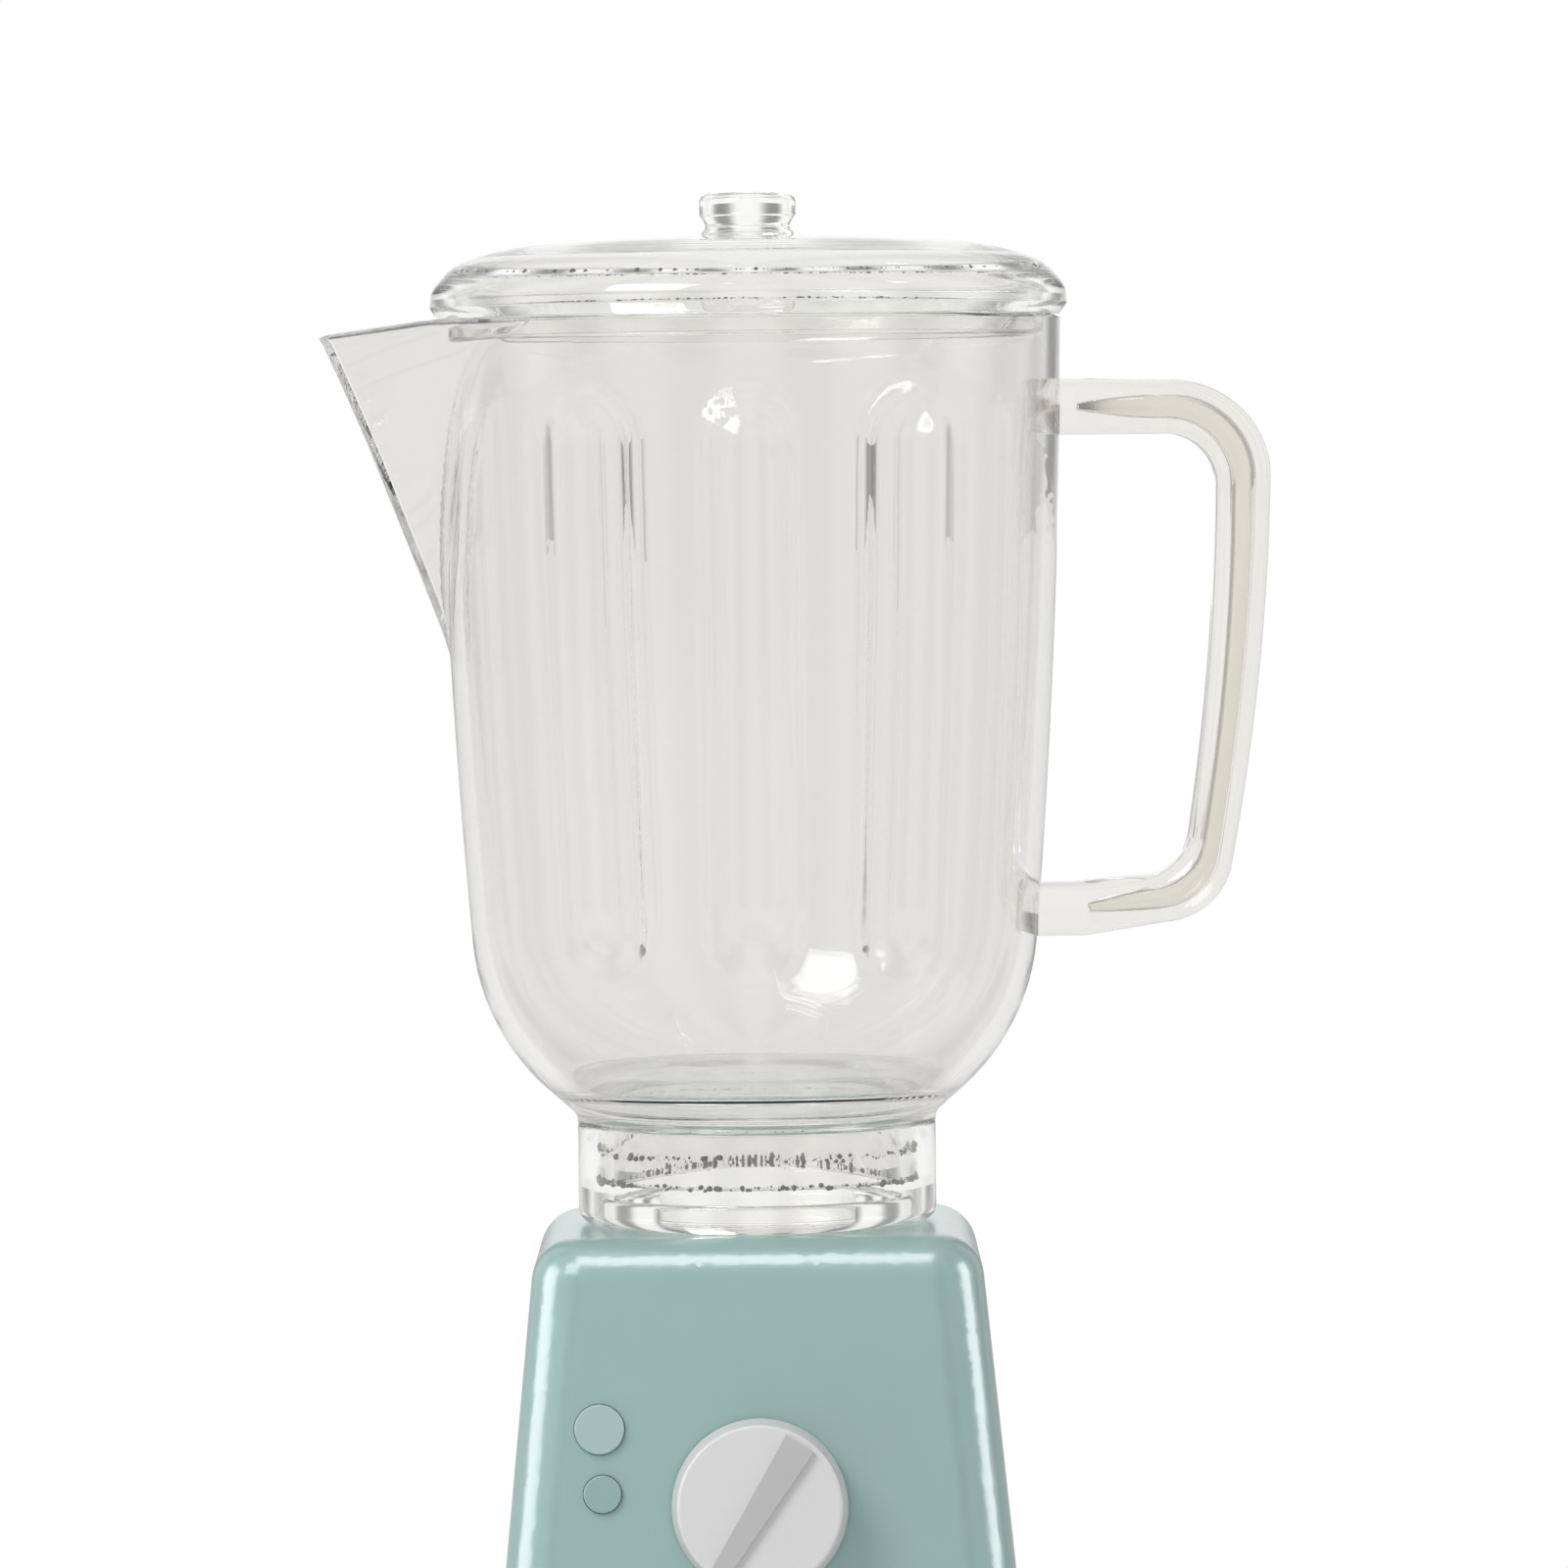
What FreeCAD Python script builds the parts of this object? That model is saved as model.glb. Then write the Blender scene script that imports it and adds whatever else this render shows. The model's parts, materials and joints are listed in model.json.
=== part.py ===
# Toy blender: a clear jug with a lid on a tapered battery base, in millimetres.
# +Z is up, the front with the dial faces -Y, the spout points to -X and the handle to +X.
# The origin is the centre of the base's foot rim, on the table.
import FreeCAD, Part

import math
import os
import re

import Sketcher

V = FreeCAD.Vector

# Driving sizes in millimetres and degrees: each is one cell of the sheet.
# A jug or handle height whose name ends in _rise is measured up from the top of the base.
SIZES = {
    # Base shell
    "base_height": 88.6,
    "foot_width": 84.4,
    "top_width": 66.9,
    "side_round": 8.5,
    "top_round": 6.8,
    "shell_wall": 2.2,
    # Bottom plate, its screws and bosses
    "plate_recess": 2.2,
    "plate_thick": 2.2,
    "plate_gap": 0.3,
    "boss_place": 32.5,
    "boss_radius": 3.5,
    "boss_top": 42.0,
    "screw_radius": 1.25,
    "screw_head_radius": 2.6,
    "screw_head_thick": 1.6,
    "screw_reach": 8.0,
    # Seat ring for the jug
    "seat_radius": 23.8,
    "seat_wall": 2.3,
    "seat_rise": 4.4,
    "seat_edge_round": 0.6,
    # Battery bay, two AA cells side by side
    "cell_radius": 7.1,
    "cell_length": 50.5,
    "cell_gap": 0.6,
    "bay_wall": 1.6,
    "bay_spare": 9.0,
    "bay_place": 12.0,
    "door_lip": 1.2,
    "door_gap": 0.3,
    "door_boss_rise": 5.0,
    "door_screw_reach": 5.7,
    "door_ear_wall": 0.8,
    "contact_thick": 0.4,
    "contact_width": 9.0,
    "nipple_radius": 2.75,
    "nipple_rise": 1.2,
    "spring_wire": 0.7,
    "spring_radius": 3.2,
    "spring_turns": 2,
    "spring_clearance": 0.05,
    "cell_edge_round": 0.6,
    # Speaker behind slots in the bottom plate
    "speaker_radius": 12.5,
    "speaker_depth": 2.8,
    "speaker_rim": 1.6,
    "speaker_place": 23.0,
    "magnet_radius": 6.5,
    "magnet_thick": 3.6,
    "cone_thick": 0.5,
    "cone_lift": 0.4,
    "speaker_gap": 0.05,
    "slot_width": 2.0,
    "slot_length": 16.0,
    "slot_pitch": 4.2,
    # Controls on the front wall, measured along the sloping face from the dial
    "dial_height": 49.0,
    "dial_radius": 13.2,
    "dial_face_radius": 12.3,
    "dial_depth": 8.6,
    "dial_lift": 0.5,
    "dial_edge_round": 0.6,
    "dial_skin": 1.4,
    "dial_hub_radius": 5.0,
    "pointer_turn": 32.4,
    "pointer_reach": 11.3,
    "pointer_wide": 4.8,
    "pointer_narrow": 2.7,
    "pointer_rise": 1.1,
    "spindle_radius": 3.0,
    "spindle_gap": 0.05,
    "socket_depth": 5.2,
    "bush_radius": 4.6,
    "switch_radius": 9.0,
    "switch_depth": 7.6,
    "switch_wall": 1.0,
    "detent_radius": 6.6,
    "detent_thick": 1.6,
    "detent_notch": 0.9,
    "detent_count": 12,
    "detent_gap": 0.4,
    "spindle_end_gap": 0.3,
    "leaf_half_width": 2.2,
    "leaf_thick": 0.4,
    "leaf_gap": 0.35,
    "leaf_extra_height": 0.8,
    "large_button_side": 23.9,
    "large_button_rise": 11.76,
    "large_button_radius": 3.6,
    "small_button_side": 23.5,
    "small_button_rise": 2.1,
    "small_button_radius": 2.7,
    "button_stand": 0.9,
    "button_edge_round": 0.3,
    "button_gap": 0.25,
    "button_flange": 0.8,
    "button_flange_thick": 1.2,
    "button_play": 0.08,
    "stem_radius": 1.6,
    "board_depth": 13.0,
    "board_thick": 1.6,
    "board_width": 62.0,
    "board_drop": 12.0,
    "board_climb": 22.5,
    "post_radius": 2.4,
    "post_side": 27.5,
    "post_low": 8.5,
    "post_high": 19.0,
    "board_screw_radius": 0.9,
    "board_screw_reach": 5.0,
    "board_screw_head": 2.0,
    "board_screw_head_thick": 1.2,
    "screw_ease": 0.02,
    "hole_ease": 0.2,
    "dome_wall": 0.6,
    "chip_width": 8.0,
    "chip_thick": 1.4,
    "chip_inset": 3.0,
    # Jug body, its shoulder and floor measured up from the neck
    "rim_height_rise": 138.4,
    "rim_radius": 47.7,
    "shoulder_rise": 12.9,
    "shoulder_radius": 42.0,
    "shoulder_round": 34.0,
    "barrel_round": 1300.0,
    "collar_radius": 27.4,
    "neck_height_rise": 15.5,
    "neck_land": 1.2,
    "neck_round": 2.4,
    "jug_wall": 2.3,
    "floor_rise": 5.1,
    "floor_thick": 2.6,
    "stub_bottom_rise": 6.6,
    "stub_wall": 2.2,
    "stub_gap": 0.3,
    "trim": 3.0,
    "shoulder_inner_rise": 0.6,
    "floor_edge_share": 0.7,
    # Spout
    "spout_reach": 65.8,
    "spout_top_rise": 136.3,
    "spout_lean": 21.3,
    "spout_half_angle": 45.0,
    "spout_tip_radius": 3.3,
    "spout_foot_rise": 76.4,
    # Flutes pressed into the jug wall
    "flute_radius": 12.6,
    "flute_depth": 2.3,
    "flute_high_rise": 119.0,
    "flute_low_rise": 45.4,
    "flute_pitch": 31.5,
    # Collar under the jug
    "collar_wall": 2.9,
    "collar_foot_round": 2.3,
    "collar_top_round": 0.4,
    # Handle, points along its outline in the plane of the spout and handle
    "handle_depth": 12.0,
    "arm_top_rise": 128.8,
    "arm_under_rise": 120.0,
    "grip_out": 79.6,
    "grip_in": 71.2,
    "grip_bow_out": 350.0,
    "grip_bow_in": 370.0,
    "grip_low_out": 71.4,
    "grip_low_in": 65.6,
    "low_arm_top_rise": 53.1,
    "low_arm_under_rise": 46.7,
    "low_root_top_rise": 50.8,
    "low_root_under_rise": 41.8,
    "handle_root": 40.0,
    "handle_bend_out": 13.5,
    "handle_bend_in": 7.0,
    "handle_low_bend_out": 9.5,
    "handle_low_bend_in": 6.5,
    "handle_edge_round": 3.2,
    "arm_top_fall": 0.8,
    # Lid, its radii measured from the jug's rim and its heights above the rim
    "lid_overhang": 1.0,
    "lid_rise": 12.55,
    "lid_widest_rise": 1.8,
    "lid_brow_in": 11.2,
    "lid_brow_share": 0.885,
    "lid_brow_round": 40.0,
    "lid_shoulder_in": 2.5,
    "lid_shoulder_share": 0.661,
    "lid_shoulder_round": 8.0,
    "lid_side_share": 0.335,
    "lid_side_round": 4.0,
    "lid_foot_in": 0.2,
    "lid_skin": 2.3,
    "lid_land_rise": 5.8,
    "lid_land_in": 4.8,
    "lid_skirt_in": 1.6,
    "lid_cove_width": 1.0,
    "lid_cove_drop": 1.6,
    "lid_coving_width": 6.0,
    "lid_coving_drop": 0.5,
    "knob_seat_radius": 9.0,
    "plug_drop": 3.2,
    "plug_gap": 0.35,
    "plug_wall": 2.2,
    "plug_edge_round": 0.6,
    "lid_knob_rise": 6.45,
    "lid_knob_radius": 7.4,
    "lid_knob_belly_rise": 3.25,
    "lid_knob_belly_round": 0.6,
    "lid_knob_neck_rise": 1.45,
    "lid_knob_neck_radius": 6.3,
    "lid_knob_foot_radius": 7.3,
    "lid_knob_round": 1.5,
}

# Heights above the table, each worked out from its own rise above the base.
HEIGHTS = (
    "rim_height",
    "neck_height",
    "stub_bottom",
    "spout_top",
    "spout_foot",
    "flute_high",
    "flute_low",
    "arm_top",
    "arm_under",
    "low_arm_top",
    "low_arm_under",
    "low_root_top",
    "low_root_under",
)

doc = FreeCAD.newDocument("toy_blender")
sheet = doc.addObject("Spreadsheet::Sheet", "Sizes")
for row, (alias, number) in enumerate(SIZES.items(), start=1):
    sheet.set(f"A{row}", alias)
    sheet.set(f"B{row}", str(number))
    sheet.setAlias(f"B{row}", alias)
doc.recompute()

NODES = {}


def cell(word):
    """A matched word as a sheet cell where it is a size, or as a sum of two cells where it is a height."""
    name = word[0]
    if name in HEIGHTS:
        return f"(Sizes.base_height + Sizes.{name}_rise)"
    return f"Sizes.{name}" if name in SIZES else name


def formula(text):
    """Put the sheet's name before each size in an expression."""
    return re.sub(r"[a-z_]+", cell, str(text))


def size(text):
    """Work out an expression of sizes as a plain number."""
    answer = sheet.evalExpression(formula(text))
    return float(getattr(answer, "Value", answer))


def bind(thing, prop, text):
    thing.setExpression(prop, formula(text))


def keep(name, thing):
    """Name a finished piece after its node."""
    thing.Label = name
    NODES[name] = thing
    return thing


def plane(body, role):
    return next(item for item in body.Origin.OriginFeatures if item.Role == role)


def new_body(name):
    return doc.addObject("PartDesign::Body", name)


def new_sketch(body, name, role="XY_Plane", lift=None):
    """Add a sketch to a body's own origin plane, or a free one where there is no body."""
    if body is None:
        sketch = doc.addObject("Sketcher::SketchObject", name)
    else:
        sketch = body.newObject("Sketcher::SketchObject", name)
        sketch.AttachmentSupport = (plane(body, role), [""])
        sketch.MapMode = "FlatFace"
        if lift is not None:
            bind(sketch, "AttachmentOffset.Base.z", lift)
    return sketch


def fix_point(sketch, line, end, across, up):
    """Hold one end of a line at a place given by two expressions."""
    for kind, axis, text in (("DistanceX", -2, across), ("DistanceY", -1, up)):
        if text == "0":
            sketch.addConstraint(Sketcher.Constraint("PointOnObject", line, end, axis))
        else:
            number = sketch.addConstraint(Sketcher.Constraint(kind, -1, 1, line, end, size(text)))
            bind(sketch, f"Constraints[{number}]", text)


def outline(sketch, points, arcs=None):
    """Draw a closed outline through points given by expressions.

    A side is straight unless arcs gives its radius, and +1 or -1 for a centre to the left or right.
    """
    arcs = arcs or {}
    places = [V(size(across), size(up), 0) for across, up in points]
    count = len(places)
    ends = []
    for index, start in enumerate(places):
        end = places[(index + 1) % count]
        if index not in arcs:
            sketch.addGeometry(Part.LineSegment(start, end))
            ends.append((1, 2))
            continue
        radius, side = size(arcs[index][0]), arcs[index][1]
        along = end - start
        across = V(-along.y, along.x, 0).normalize() * side
        centre = (start + end) * 0.5 + across * math.sqrt(radius ** 2 - (along.Length / 2) ** 2)
        first, last = (start, end) if side > 0 else (end, start)
        angles = [math.atan2(point.y - centre.y, point.x - centre.x) for point in (first, last)]
        sketch.addGeometry(Part.ArcOfCircle(Part.Circle(centre, V(0, 0, 1), radius), *angles))
        ends.append((1, 2) if side > 0 else (2, 1))
    for index in range(count):
        following = (index + 1) % count
        sketch.addConstraint(
            Sketcher.Constraint("Coincident", index, ends[index][1], following, ends[following][0]))
    for index, (across, up) in enumerate(points):
        fix_point(sketch, index, ends[index][0], across, up)
    for index, (radius, side) in arcs.items():
        held = sketch.addConstraint(Sketcher.Constraint("Radius", index, size(radius)))
        bind(sketch, f"Constraints[{held}]", radius)
    return sketch


def circle(sketch, across, up, radius):
    """Draw a circle whose centre and radius are expressions."""
    number = sketch.addGeometry(Part.Circle(V(size(across), size(up), 0), V(0, 0, 1), size(radius)))
    fix_point(sketch, number, 3, across, up)
    held = sketch.addConstraint(Sketcher.Constraint("Radius", number, size(radius)))
    bind(sketch, f"Constraints[{held}]", radius)
    return sketch


def rounded_square(sketch, width, corner):
    """Draw a square with round corners about the sketch's origin."""
    half = size(width) / 2
    radius = size(corner)
    inner = half - radius
    sides = [
        (V(-inner, -half, 0), V(inner, -half, 0)),
        (V(half, -inner, 0), V(half, inner, 0)),
        (V(inner, half, 0), V(-inner, half, 0)),
        (V(-half, inner, 0), V(-half, -inner, 0)),
    ]
    centres = [V(inner, -inner, 0), V(inner, inner, 0), V(-inner, inner, 0), V(-inner, -inner, 0)]
    for turn, ((start, end), centre) in enumerate(zip(sides, centres)):
        sketch.addGeometry(Part.LineSegment(start, end))
        low = math.radians(90 * turn - 90)
        arc = Part.ArcOfCircle(Part.Circle(centre, V(0, 0, 1), radius), low, low + math.pi / 2)
        sketch.addGeometry(arc)
    for turn in range(4):
        line, arc, following = 2 * turn, 2 * turn + 1, (2 * turn + 2) % 8
        sketch.addConstraint(Sketcher.Constraint("Tangent", line, 2, arc, 1))
        sketch.addConstraint(Sketcher.Constraint("Tangent", arc, 2, following, 1))
    sketch.addConstraint(Sketcher.Constraint("Horizontal", 0))
    sketch.addConstraint(Sketcher.Constraint("Vertical", 2))
    for arc in (3, 5, 7):
        sketch.addConstraint(Sketcher.Constraint("Equal", 1, arc))
    sketch.addConstraint(Sketcher.Constraint("Symmetric", 1, 3, 5, 3, -1, 1))
    sketch.addConstraint(Sketcher.Constraint("Symmetric", 3, 3, 7, 3, -1, 1))
    held = sketch.addConstraint(Sketcher.Constraint("Radius", 1, radius))
    bind(sketch, f"Constraints[{held}]", corner)
    for kind, first, second in (("DistanceX", 5, 1), ("DistanceY", 1, 3)):
        held = sketch.addConstraint(Sketcher.Constraint(kind, first, 3, second, 3, 2 * inner))
        bind(sketch, f"Constraints[{held}]", f"{width} - 2 * ({corner})")
    return sketch


def pad(body, sketch, length, name, backwards=False, both=False):
    feature = body.newObject("PartDesign::Pad", name)
    feature.Profile = sketch
    bind(feature, "Length", length)
    feature.Reversed = backwards
    feature.Midplane = both
    doc.recompute()
    return feature


def pocket(body, sketch, length, name, backwards=False, both=False):
    """Cut a sketch out of a body, and stop if the cut misses it."""
    before = body.Shape.Volume
    feature = body.newObject("PartDesign::Pocket", name)
    feature.Profile = sketch
    bind(feature, "Length", length)
    feature.Reversed = backwards
    feature.Midplane = both
    doc.recompute()
    if not body.Shape.Volume < before:
        raise RuntimeError(f"{name} cuts nothing")
    return feature


def turn(body, sketch, name, kind="Revolution"):
    """Turn a profile a full circle about the sketch's vertical axis."""
    feature = body.newObject(f"PartDesign::{kind}", name)
    feature.Profile = sketch
    feature.ReferenceAxis = (sketch, ["V_Axis"])
    feature.Angle = 360
    doc.recompute()
    return feature


def fillet(body, chosen, radius, name):
    """Round the edges of a body's last shape that a test picks."""
    last = body.Tip
    names = [f"Edge{number}" for number, edge in enumerate(last.Shape.Edges, start=1) if chosen(edge)]
    if not names:
        raise RuntimeError(f"{name} finds no edge")
    feature = body.newObject("PartDesign::Fillet", name)
    feature.Base = (last, names)
    bind(feature, "Radius", radius)
    doc.recompute()
    if "Invalid" in feature.State or "Error" in feature.State:
        raise RuntimeError(f"{name} can't be rounded by {radius}")
    return feature


NEAR = 0.02


def ring_edge(radius, height):
    """Pick the round edges of a turned piece at one radius and height."""
    wanted, level = size(radius), size(height)

    def chosen(edge):
        if not isinstance(edge.Curve, Part.Circle):
            return False
        return abs(edge.Curve.Radius - wanted) < NEAR and abs(edge.Curve.Center.z - level) < NEAR

    return chosen


def turned(name, points, rounds=(), arcs=None):
    """Make a turned body from a profile, with round edges given as radius, height and fillet."""
    body = new_body(name)
    turn(body, outline(new_sketch(body, f"{name}_profile", "XZ_Plane"), points, arcs), f"{name}_turned")
    for number, (radius, height, amount) in enumerate(rounds):
        fillet(body, ring_edge(radius, height), amount, f"{name}_round_{number}")
    return body


def cut(name, base, tool):
    """Take one object out of another."""
    feature = doc.addObject("Part::Cut", name)
    feature.Base = base
    feature.Tool = tool
    return feature


def fuse(name, pieces):
    feature = doc.addObject("Part::MultiFuse", name)
    feature.Shapes = pieces
    feature.Refine = True
    return feature


def block(name, low, high):
    """Make a box between two corners, each given as three expressions."""
    feature = doc.addObject("Part::Box", name)
    for side, axis, start, end in zip(("Length", "Width", "Height"), "xyz", low, high):
        bind(feature, side, f"({end}) - ({start})")
        bind(feature, f"Placement.Base.{axis}", start)
    return feature


def unbind_place(thing):
    """Free a piece from its place's expressions, so that it can be turned."""
    for axis in "xyz":
        thing.setExpression(f"Placement.Base.{axis}", None)


def rod(name, place, radius, length):
    """Make an upright cylinder that starts at a place given as three expressions."""
    feature = doc.addObject("Part::Cylinder", name)
    bind(feature, "Radius", radius)
    bind(feature, "Height", length)
    for axis, text in zip("xyz", place):
        bind(feature, f"Placement.Base.{axis}", text)
    return feature


TAPER = math.degrees(math.atan((size("foot_width") - size("top_width")) / 2 / size("base_height")))


def half_width(height):
    """Give the base's half width at a height."""
    return size("foot_width") / 2 - height * math.tan(math.radians(TAPER))


def front_frame():
    """The place on the sloping front face at the dial's centre, with +Z pointing out."""
    height = size("dial_height")
    return FreeCAD.Placement(V(0, -half_width(height), height), FreeCAD.Rotation(V(1, 0, 0), 90 - TAPER))


def on_front(thing, across="0", up="0"):
    """Stand a piece on the front face, moved across and up the face from the dial's centre."""
    shift = FreeCAD.Placement(V(size(across), size(up), 0), FreeCAD.Rotation())
    thing.Placement = front_frame().multiply(shift)
    return thing


CORNERS = [(-1, -1), (1, -1), (1, 1), (-1, 1)]
LEAN = "(foot_width - top_width) / 2 / base_height"


def signed(sign, text):
    return f"{sign} * ({text})"


def tapered_block(name, foot, start, length, side_round, top_round):
    """A square block that narrows upwards, with its upright and top edges rounded."""
    body = new_body(name)
    half = f"({foot}) / 2"
    square = outline(new_sketch(body, f"{name}_foot", lift=start), [
        (f"-{half}", f"-{half}"),
        (half, f"-{half}"),
        (half, half),
        (f"-{half}", half),
    ])
    solid = pad(body, square, length, f"{name}_pad")
    bind(solid, "TaperAngle", f"-atan({LEAN})")
    doc.recompute()
    top = size(f"({start}) + ({length})")
    fillet(body, lambda edge: edge.BoundBox.ZLength > size(length) - NEAR, side_round, f"{name}_sides")
    fillet(body, lambda edge: edge.BoundBox.ZMin > top - NEAR, top_round, f"{name}_top")
    return body


def make_base_shell():
    """The tapered housing, open below, with its screw bosses, board posts and control holes."""
    body = tapered_block("shell_form", "foot_width", "0", "base_height", "side_round", "top_round")
    hollow = tapered_block("shell_hollow", f"foot_width - 2 * shell_wall + 2 * {LEAN} * shell_wall",
                           "-shell_wall", "base_height", "side_round - shell_wall",
                           "top_round - shell_wall")
    skin = cut("shell_skin", body, hollow)

    plate_top = "plate_recess + plate_thick"
    bosses = []
    pilots = []
    for number, (side, back) in enumerate(CORNERS):
        place = (signed(side, "boss_place"), signed(back, "boss_place"), plate_top)
        bosses.append(rod(f"boss_{number}", place, "boss_radius", f"boss_top - ({plate_top})"))
        pilots.append(rod(f"pilot_{number}", place, "screw_radius", "screw_reach + 1"))

    posts = []
    bores = []
    for number, (side, up) in enumerate(board_posts()):
        post = rod(f"post_{number}", (side, up, "-board_depth"), "post_radius", "board_depth - shell_wall / 2")
        posts.append(shift_to_front(post))
        bore = rod(f"post_bore_{number}", (side, up, "-board_depth"), "board_screw_radius",
                   "board_screw_reach + 0.5")
        bores.append(shift_to_front(bore))

    holes = [
        shift_to_front(rod("dial_hole", ("0", "0", "-shell_wall * 2"), "bush_radius + button_gap",
                           "shell_wall * 3")),
        shift_to_front(rod("large_hole", ("-large_button_side", "large_button_rise", "-shell_wall * 2"),
                           "large_button_radius + button_gap", "shell_wall * 3")),
        shift_to_front(rod("small_hole", ("-small_button_side", "small_button_rise", "-shell_wall * 2"),
                           "small_button_radius + button_gap", "shell_wall * 3")),
    ]
    whole = fuse("shell_with_bosses", [skin] + bosses + posts)
    tools = fuse("shell_cuts", pilots + bores + holes)
    return keep("base_shell", cut("base_shell", whole, tools))


def board_posts():
    """Places of the four board posts on the front face, as expressions."""
    return [(signed(side, "post_side"), "-post_low" if up < 0 else "post_high") for side, up in CORNERS]


def shift_to_front(thing):
    """Carry a piece that was placed about the dial's centre over to the front face."""
    doc.recompute()
    local = thing.Placement
    unbind_place(thing)
    thing.Placement = front_frame().multiply(local)
    return thing


def make_seat_ring():
    """The clear ring on the base that the jug's collar drops over."""
    inner = "seat_radius - seat_wall"
    top = "base_height + seat_rise"
    points = [(inner, "base_height"), ("seat_radius", "base_height"), ("seat_radius", top), (inner, top)]
    keep("seat_ring", turned("seat_ring", points, [("seat_radius", top, "seat_edge_round")]))


BAY_LOW = "plate_recess + plate_thick"
CELL_AXIS = f"{BAY_LOW} + cell_radius + door_gap"
CELL_STEP = "cell_radius + cell_gap / 2"
BAY_HALF_LENGTH = "cell_length / 2 + bay_spare / 2"
BAY_HALF_WIDTH = "2 * cell_radius + cell_gap"
BAY_TOP = f"{BAY_LOW} + 2 * cell_radius + 2 * door_gap"


def make_base_plate():
    """The bottom plate with the battery bay moulded up from it and slots for the speaker."""
    body = new_body("plate_form")
    # The plate clears the shell's sloping wall at its upper face, where the room is least.
    width = f"foot_width - 2 * shell_wall - 2 * plate_gap - 2 * {LEAN} * (plate_recess + plate_thick)"
    sketch = rounded_square(new_sketch(body, "plate_sketch", lift="plate_recess"), width,
                            "side_round - shell_wall - plate_gap")
    pad(body, sketch, "plate_thick", "plate_pad")
    holes = new_sketch(body, "plate_screw_holes", lift="plate_recess")
    for side, back in CORNERS:
        circle(holes, signed(side, "boss_place"), signed(back, "boss_place"), "screw_radius + hole_ease")
    pocket(body, holes, "plate_thick", "plate_screw_cut", backwards=True)
    slots = new_sketch(body, "speaker_slots", lift="plate_recess")
    pocket(body, slot_rows(slots), "plate_thick", "speaker_slot_cut", backwards=True)

    box = block("bay_box",
                (f"-({BAY_HALF_LENGTH}) - bay_wall", f"bay_place - ({BAY_HALF_WIDTH}) - bay_wall", BAY_LOW),
                (f"{BAY_HALF_LENGTH} + bay_wall", f"bay_place + {BAY_HALF_WIDTH} + bay_wall",
                 f"{BAY_TOP} + bay_wall"))
    room = block("bay_room",
                 (f"-({BAY_HALF_LENGTH})", f"bay_place - ({BAY_HALF_WIDTH})", "0"),
                 (BAY_HALF_LENGTH, f"bay_place + {BAY_HALF_WIDTH}", BAY_TOP))
    step = block("door_step",
                 (f"-({BAY_HALF_LENGTH}) - door_lip", f"bay_place - ({BAY_HALF_WIDTH}) - door_lip", "0"),
                 (f"{BAY_HALF_LENGTH} + door_lip", f"bay_place + {BAY_HALF_WIDTH} + door_lip",
                  "plate_recess + plate_thick / 2"))
    ear = rod("door_screw_room", ("0", DOOR_SCREW, "0"), "screw_head_radius + door_ear_wall",
              "plate_recess + plate_thick / 2")
    pilot = rod("door_screw_pilot", ("0", DOOR_SCREW, "0"), "screw_radius",
                "plate_recess + plate_thick + door_boss_rise - 1")
    boss = rod("door_screw_boss", ("0", DOOR_SCREW, "plate_recess + plate_thick / 2"), "boss_radius",
               "plate_thick / 2 + door_boss_rise")
    solid = fuse("plate_with_bay", [body, box, boss])
    tools = fuse("plate_cuts", [room, step, ear, pilot])
    keep("base_plate", cut("base_plate", solid, tools))


DOOR_SCREW = f"bay_place - ({BAY_HALF_WIDTH}) - boss_radius"


def slot_rows(sketch):
    """Five rounded slots in a row below the speaker."""
    for row in range(-2, 3):
        centre = f"-speaker_place + {row} * slot_pitch"
        radius = size("slot_width") / 2
        half = size("slot_length") / 2
        middle = size(centre)
        first = sketch.GeometryCount
        sketch.addGeometry(Part.LineSegment(V(-half, middle - radius, 0), V(half, middle - radius, 0)))
        sketch.addGeometry(Part.ArcOfCircle(Part.Circle(V(half, middle, 0), V(0, 0, 1), radius),
                                            -math.pi / 2, math.pi / 2))
        sketch.addGeometry(Part.LineSegment(V(half, middle + radius, 0), V(-half, middle + radius, 0)))
        sketch.addGeometry(Part.ArcOfCircle(Part.Circle(V(-half, middle, 0), V(0, 0, 1), radius),
                                            math.pi / 2, 3 * math.pi / 2))
        for step in range(4):
            following = first + (step + 1) % 4
            sketch.addConstraint(Sketcher.Constraint("Tangent", first + step, 2, following, 1))
        sketch.addConstraint(Sketcher.Constraint("Horizontal", first))
        held = sketch.addConstraint(Sketcher.Constraint("Radius", first + 1, radius))
        bind(sketch, f"Constraints[{held}]", "slot_width / 2")
        fix_point(sketch, first + 1, 3, "slot_length / 2", centre)
        held = sketch.addConstraint(Sketcher.Constraint("DistanceX", first + 3, 3, first + 1, 3, 2 * half))
        bind(sketch, f"Constraints[{held}]", "slot_length")
    return sketch


def screw(name, place, shank, head, head_thick, reach):
    """A pan-head screw as one solid that points up from the underside of its head."""
    across, along, seat = place
    stem = rod(f"{name}_stem", (across, along, f"{seat}"), shank, reach)
    cap = rod(f"{name}_head", (across, along, f"{seat} - ({head_thick})"), head, head_thick)
    return fuse(name, [cap, stem])


def make_base_plate_screws():
    """Four screws that hold the bottom plate to the shell's bosses."""
    pieces = []
    for number, (side, back) in enumerate(CORNERS):
        place = (signed(side, "boss_place"), signed(back, "boss_place"), "plate_recess")
        pieces.append(screw(f"plate_screw_{number}", place, "screw_radius - screw_ease",
                            "screw_head_radius", "screw_head_thick", "plate_thick + screw_reach - 0.5"))
    keep("base_plate_screws", gather("base_plate_screws", pieces))


def gather(name, pieces):
    """Keep several separate solids together as one node."""
    group = doc.addObject("Part::Compound", name)
    group.Links = pieces
    return group


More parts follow.
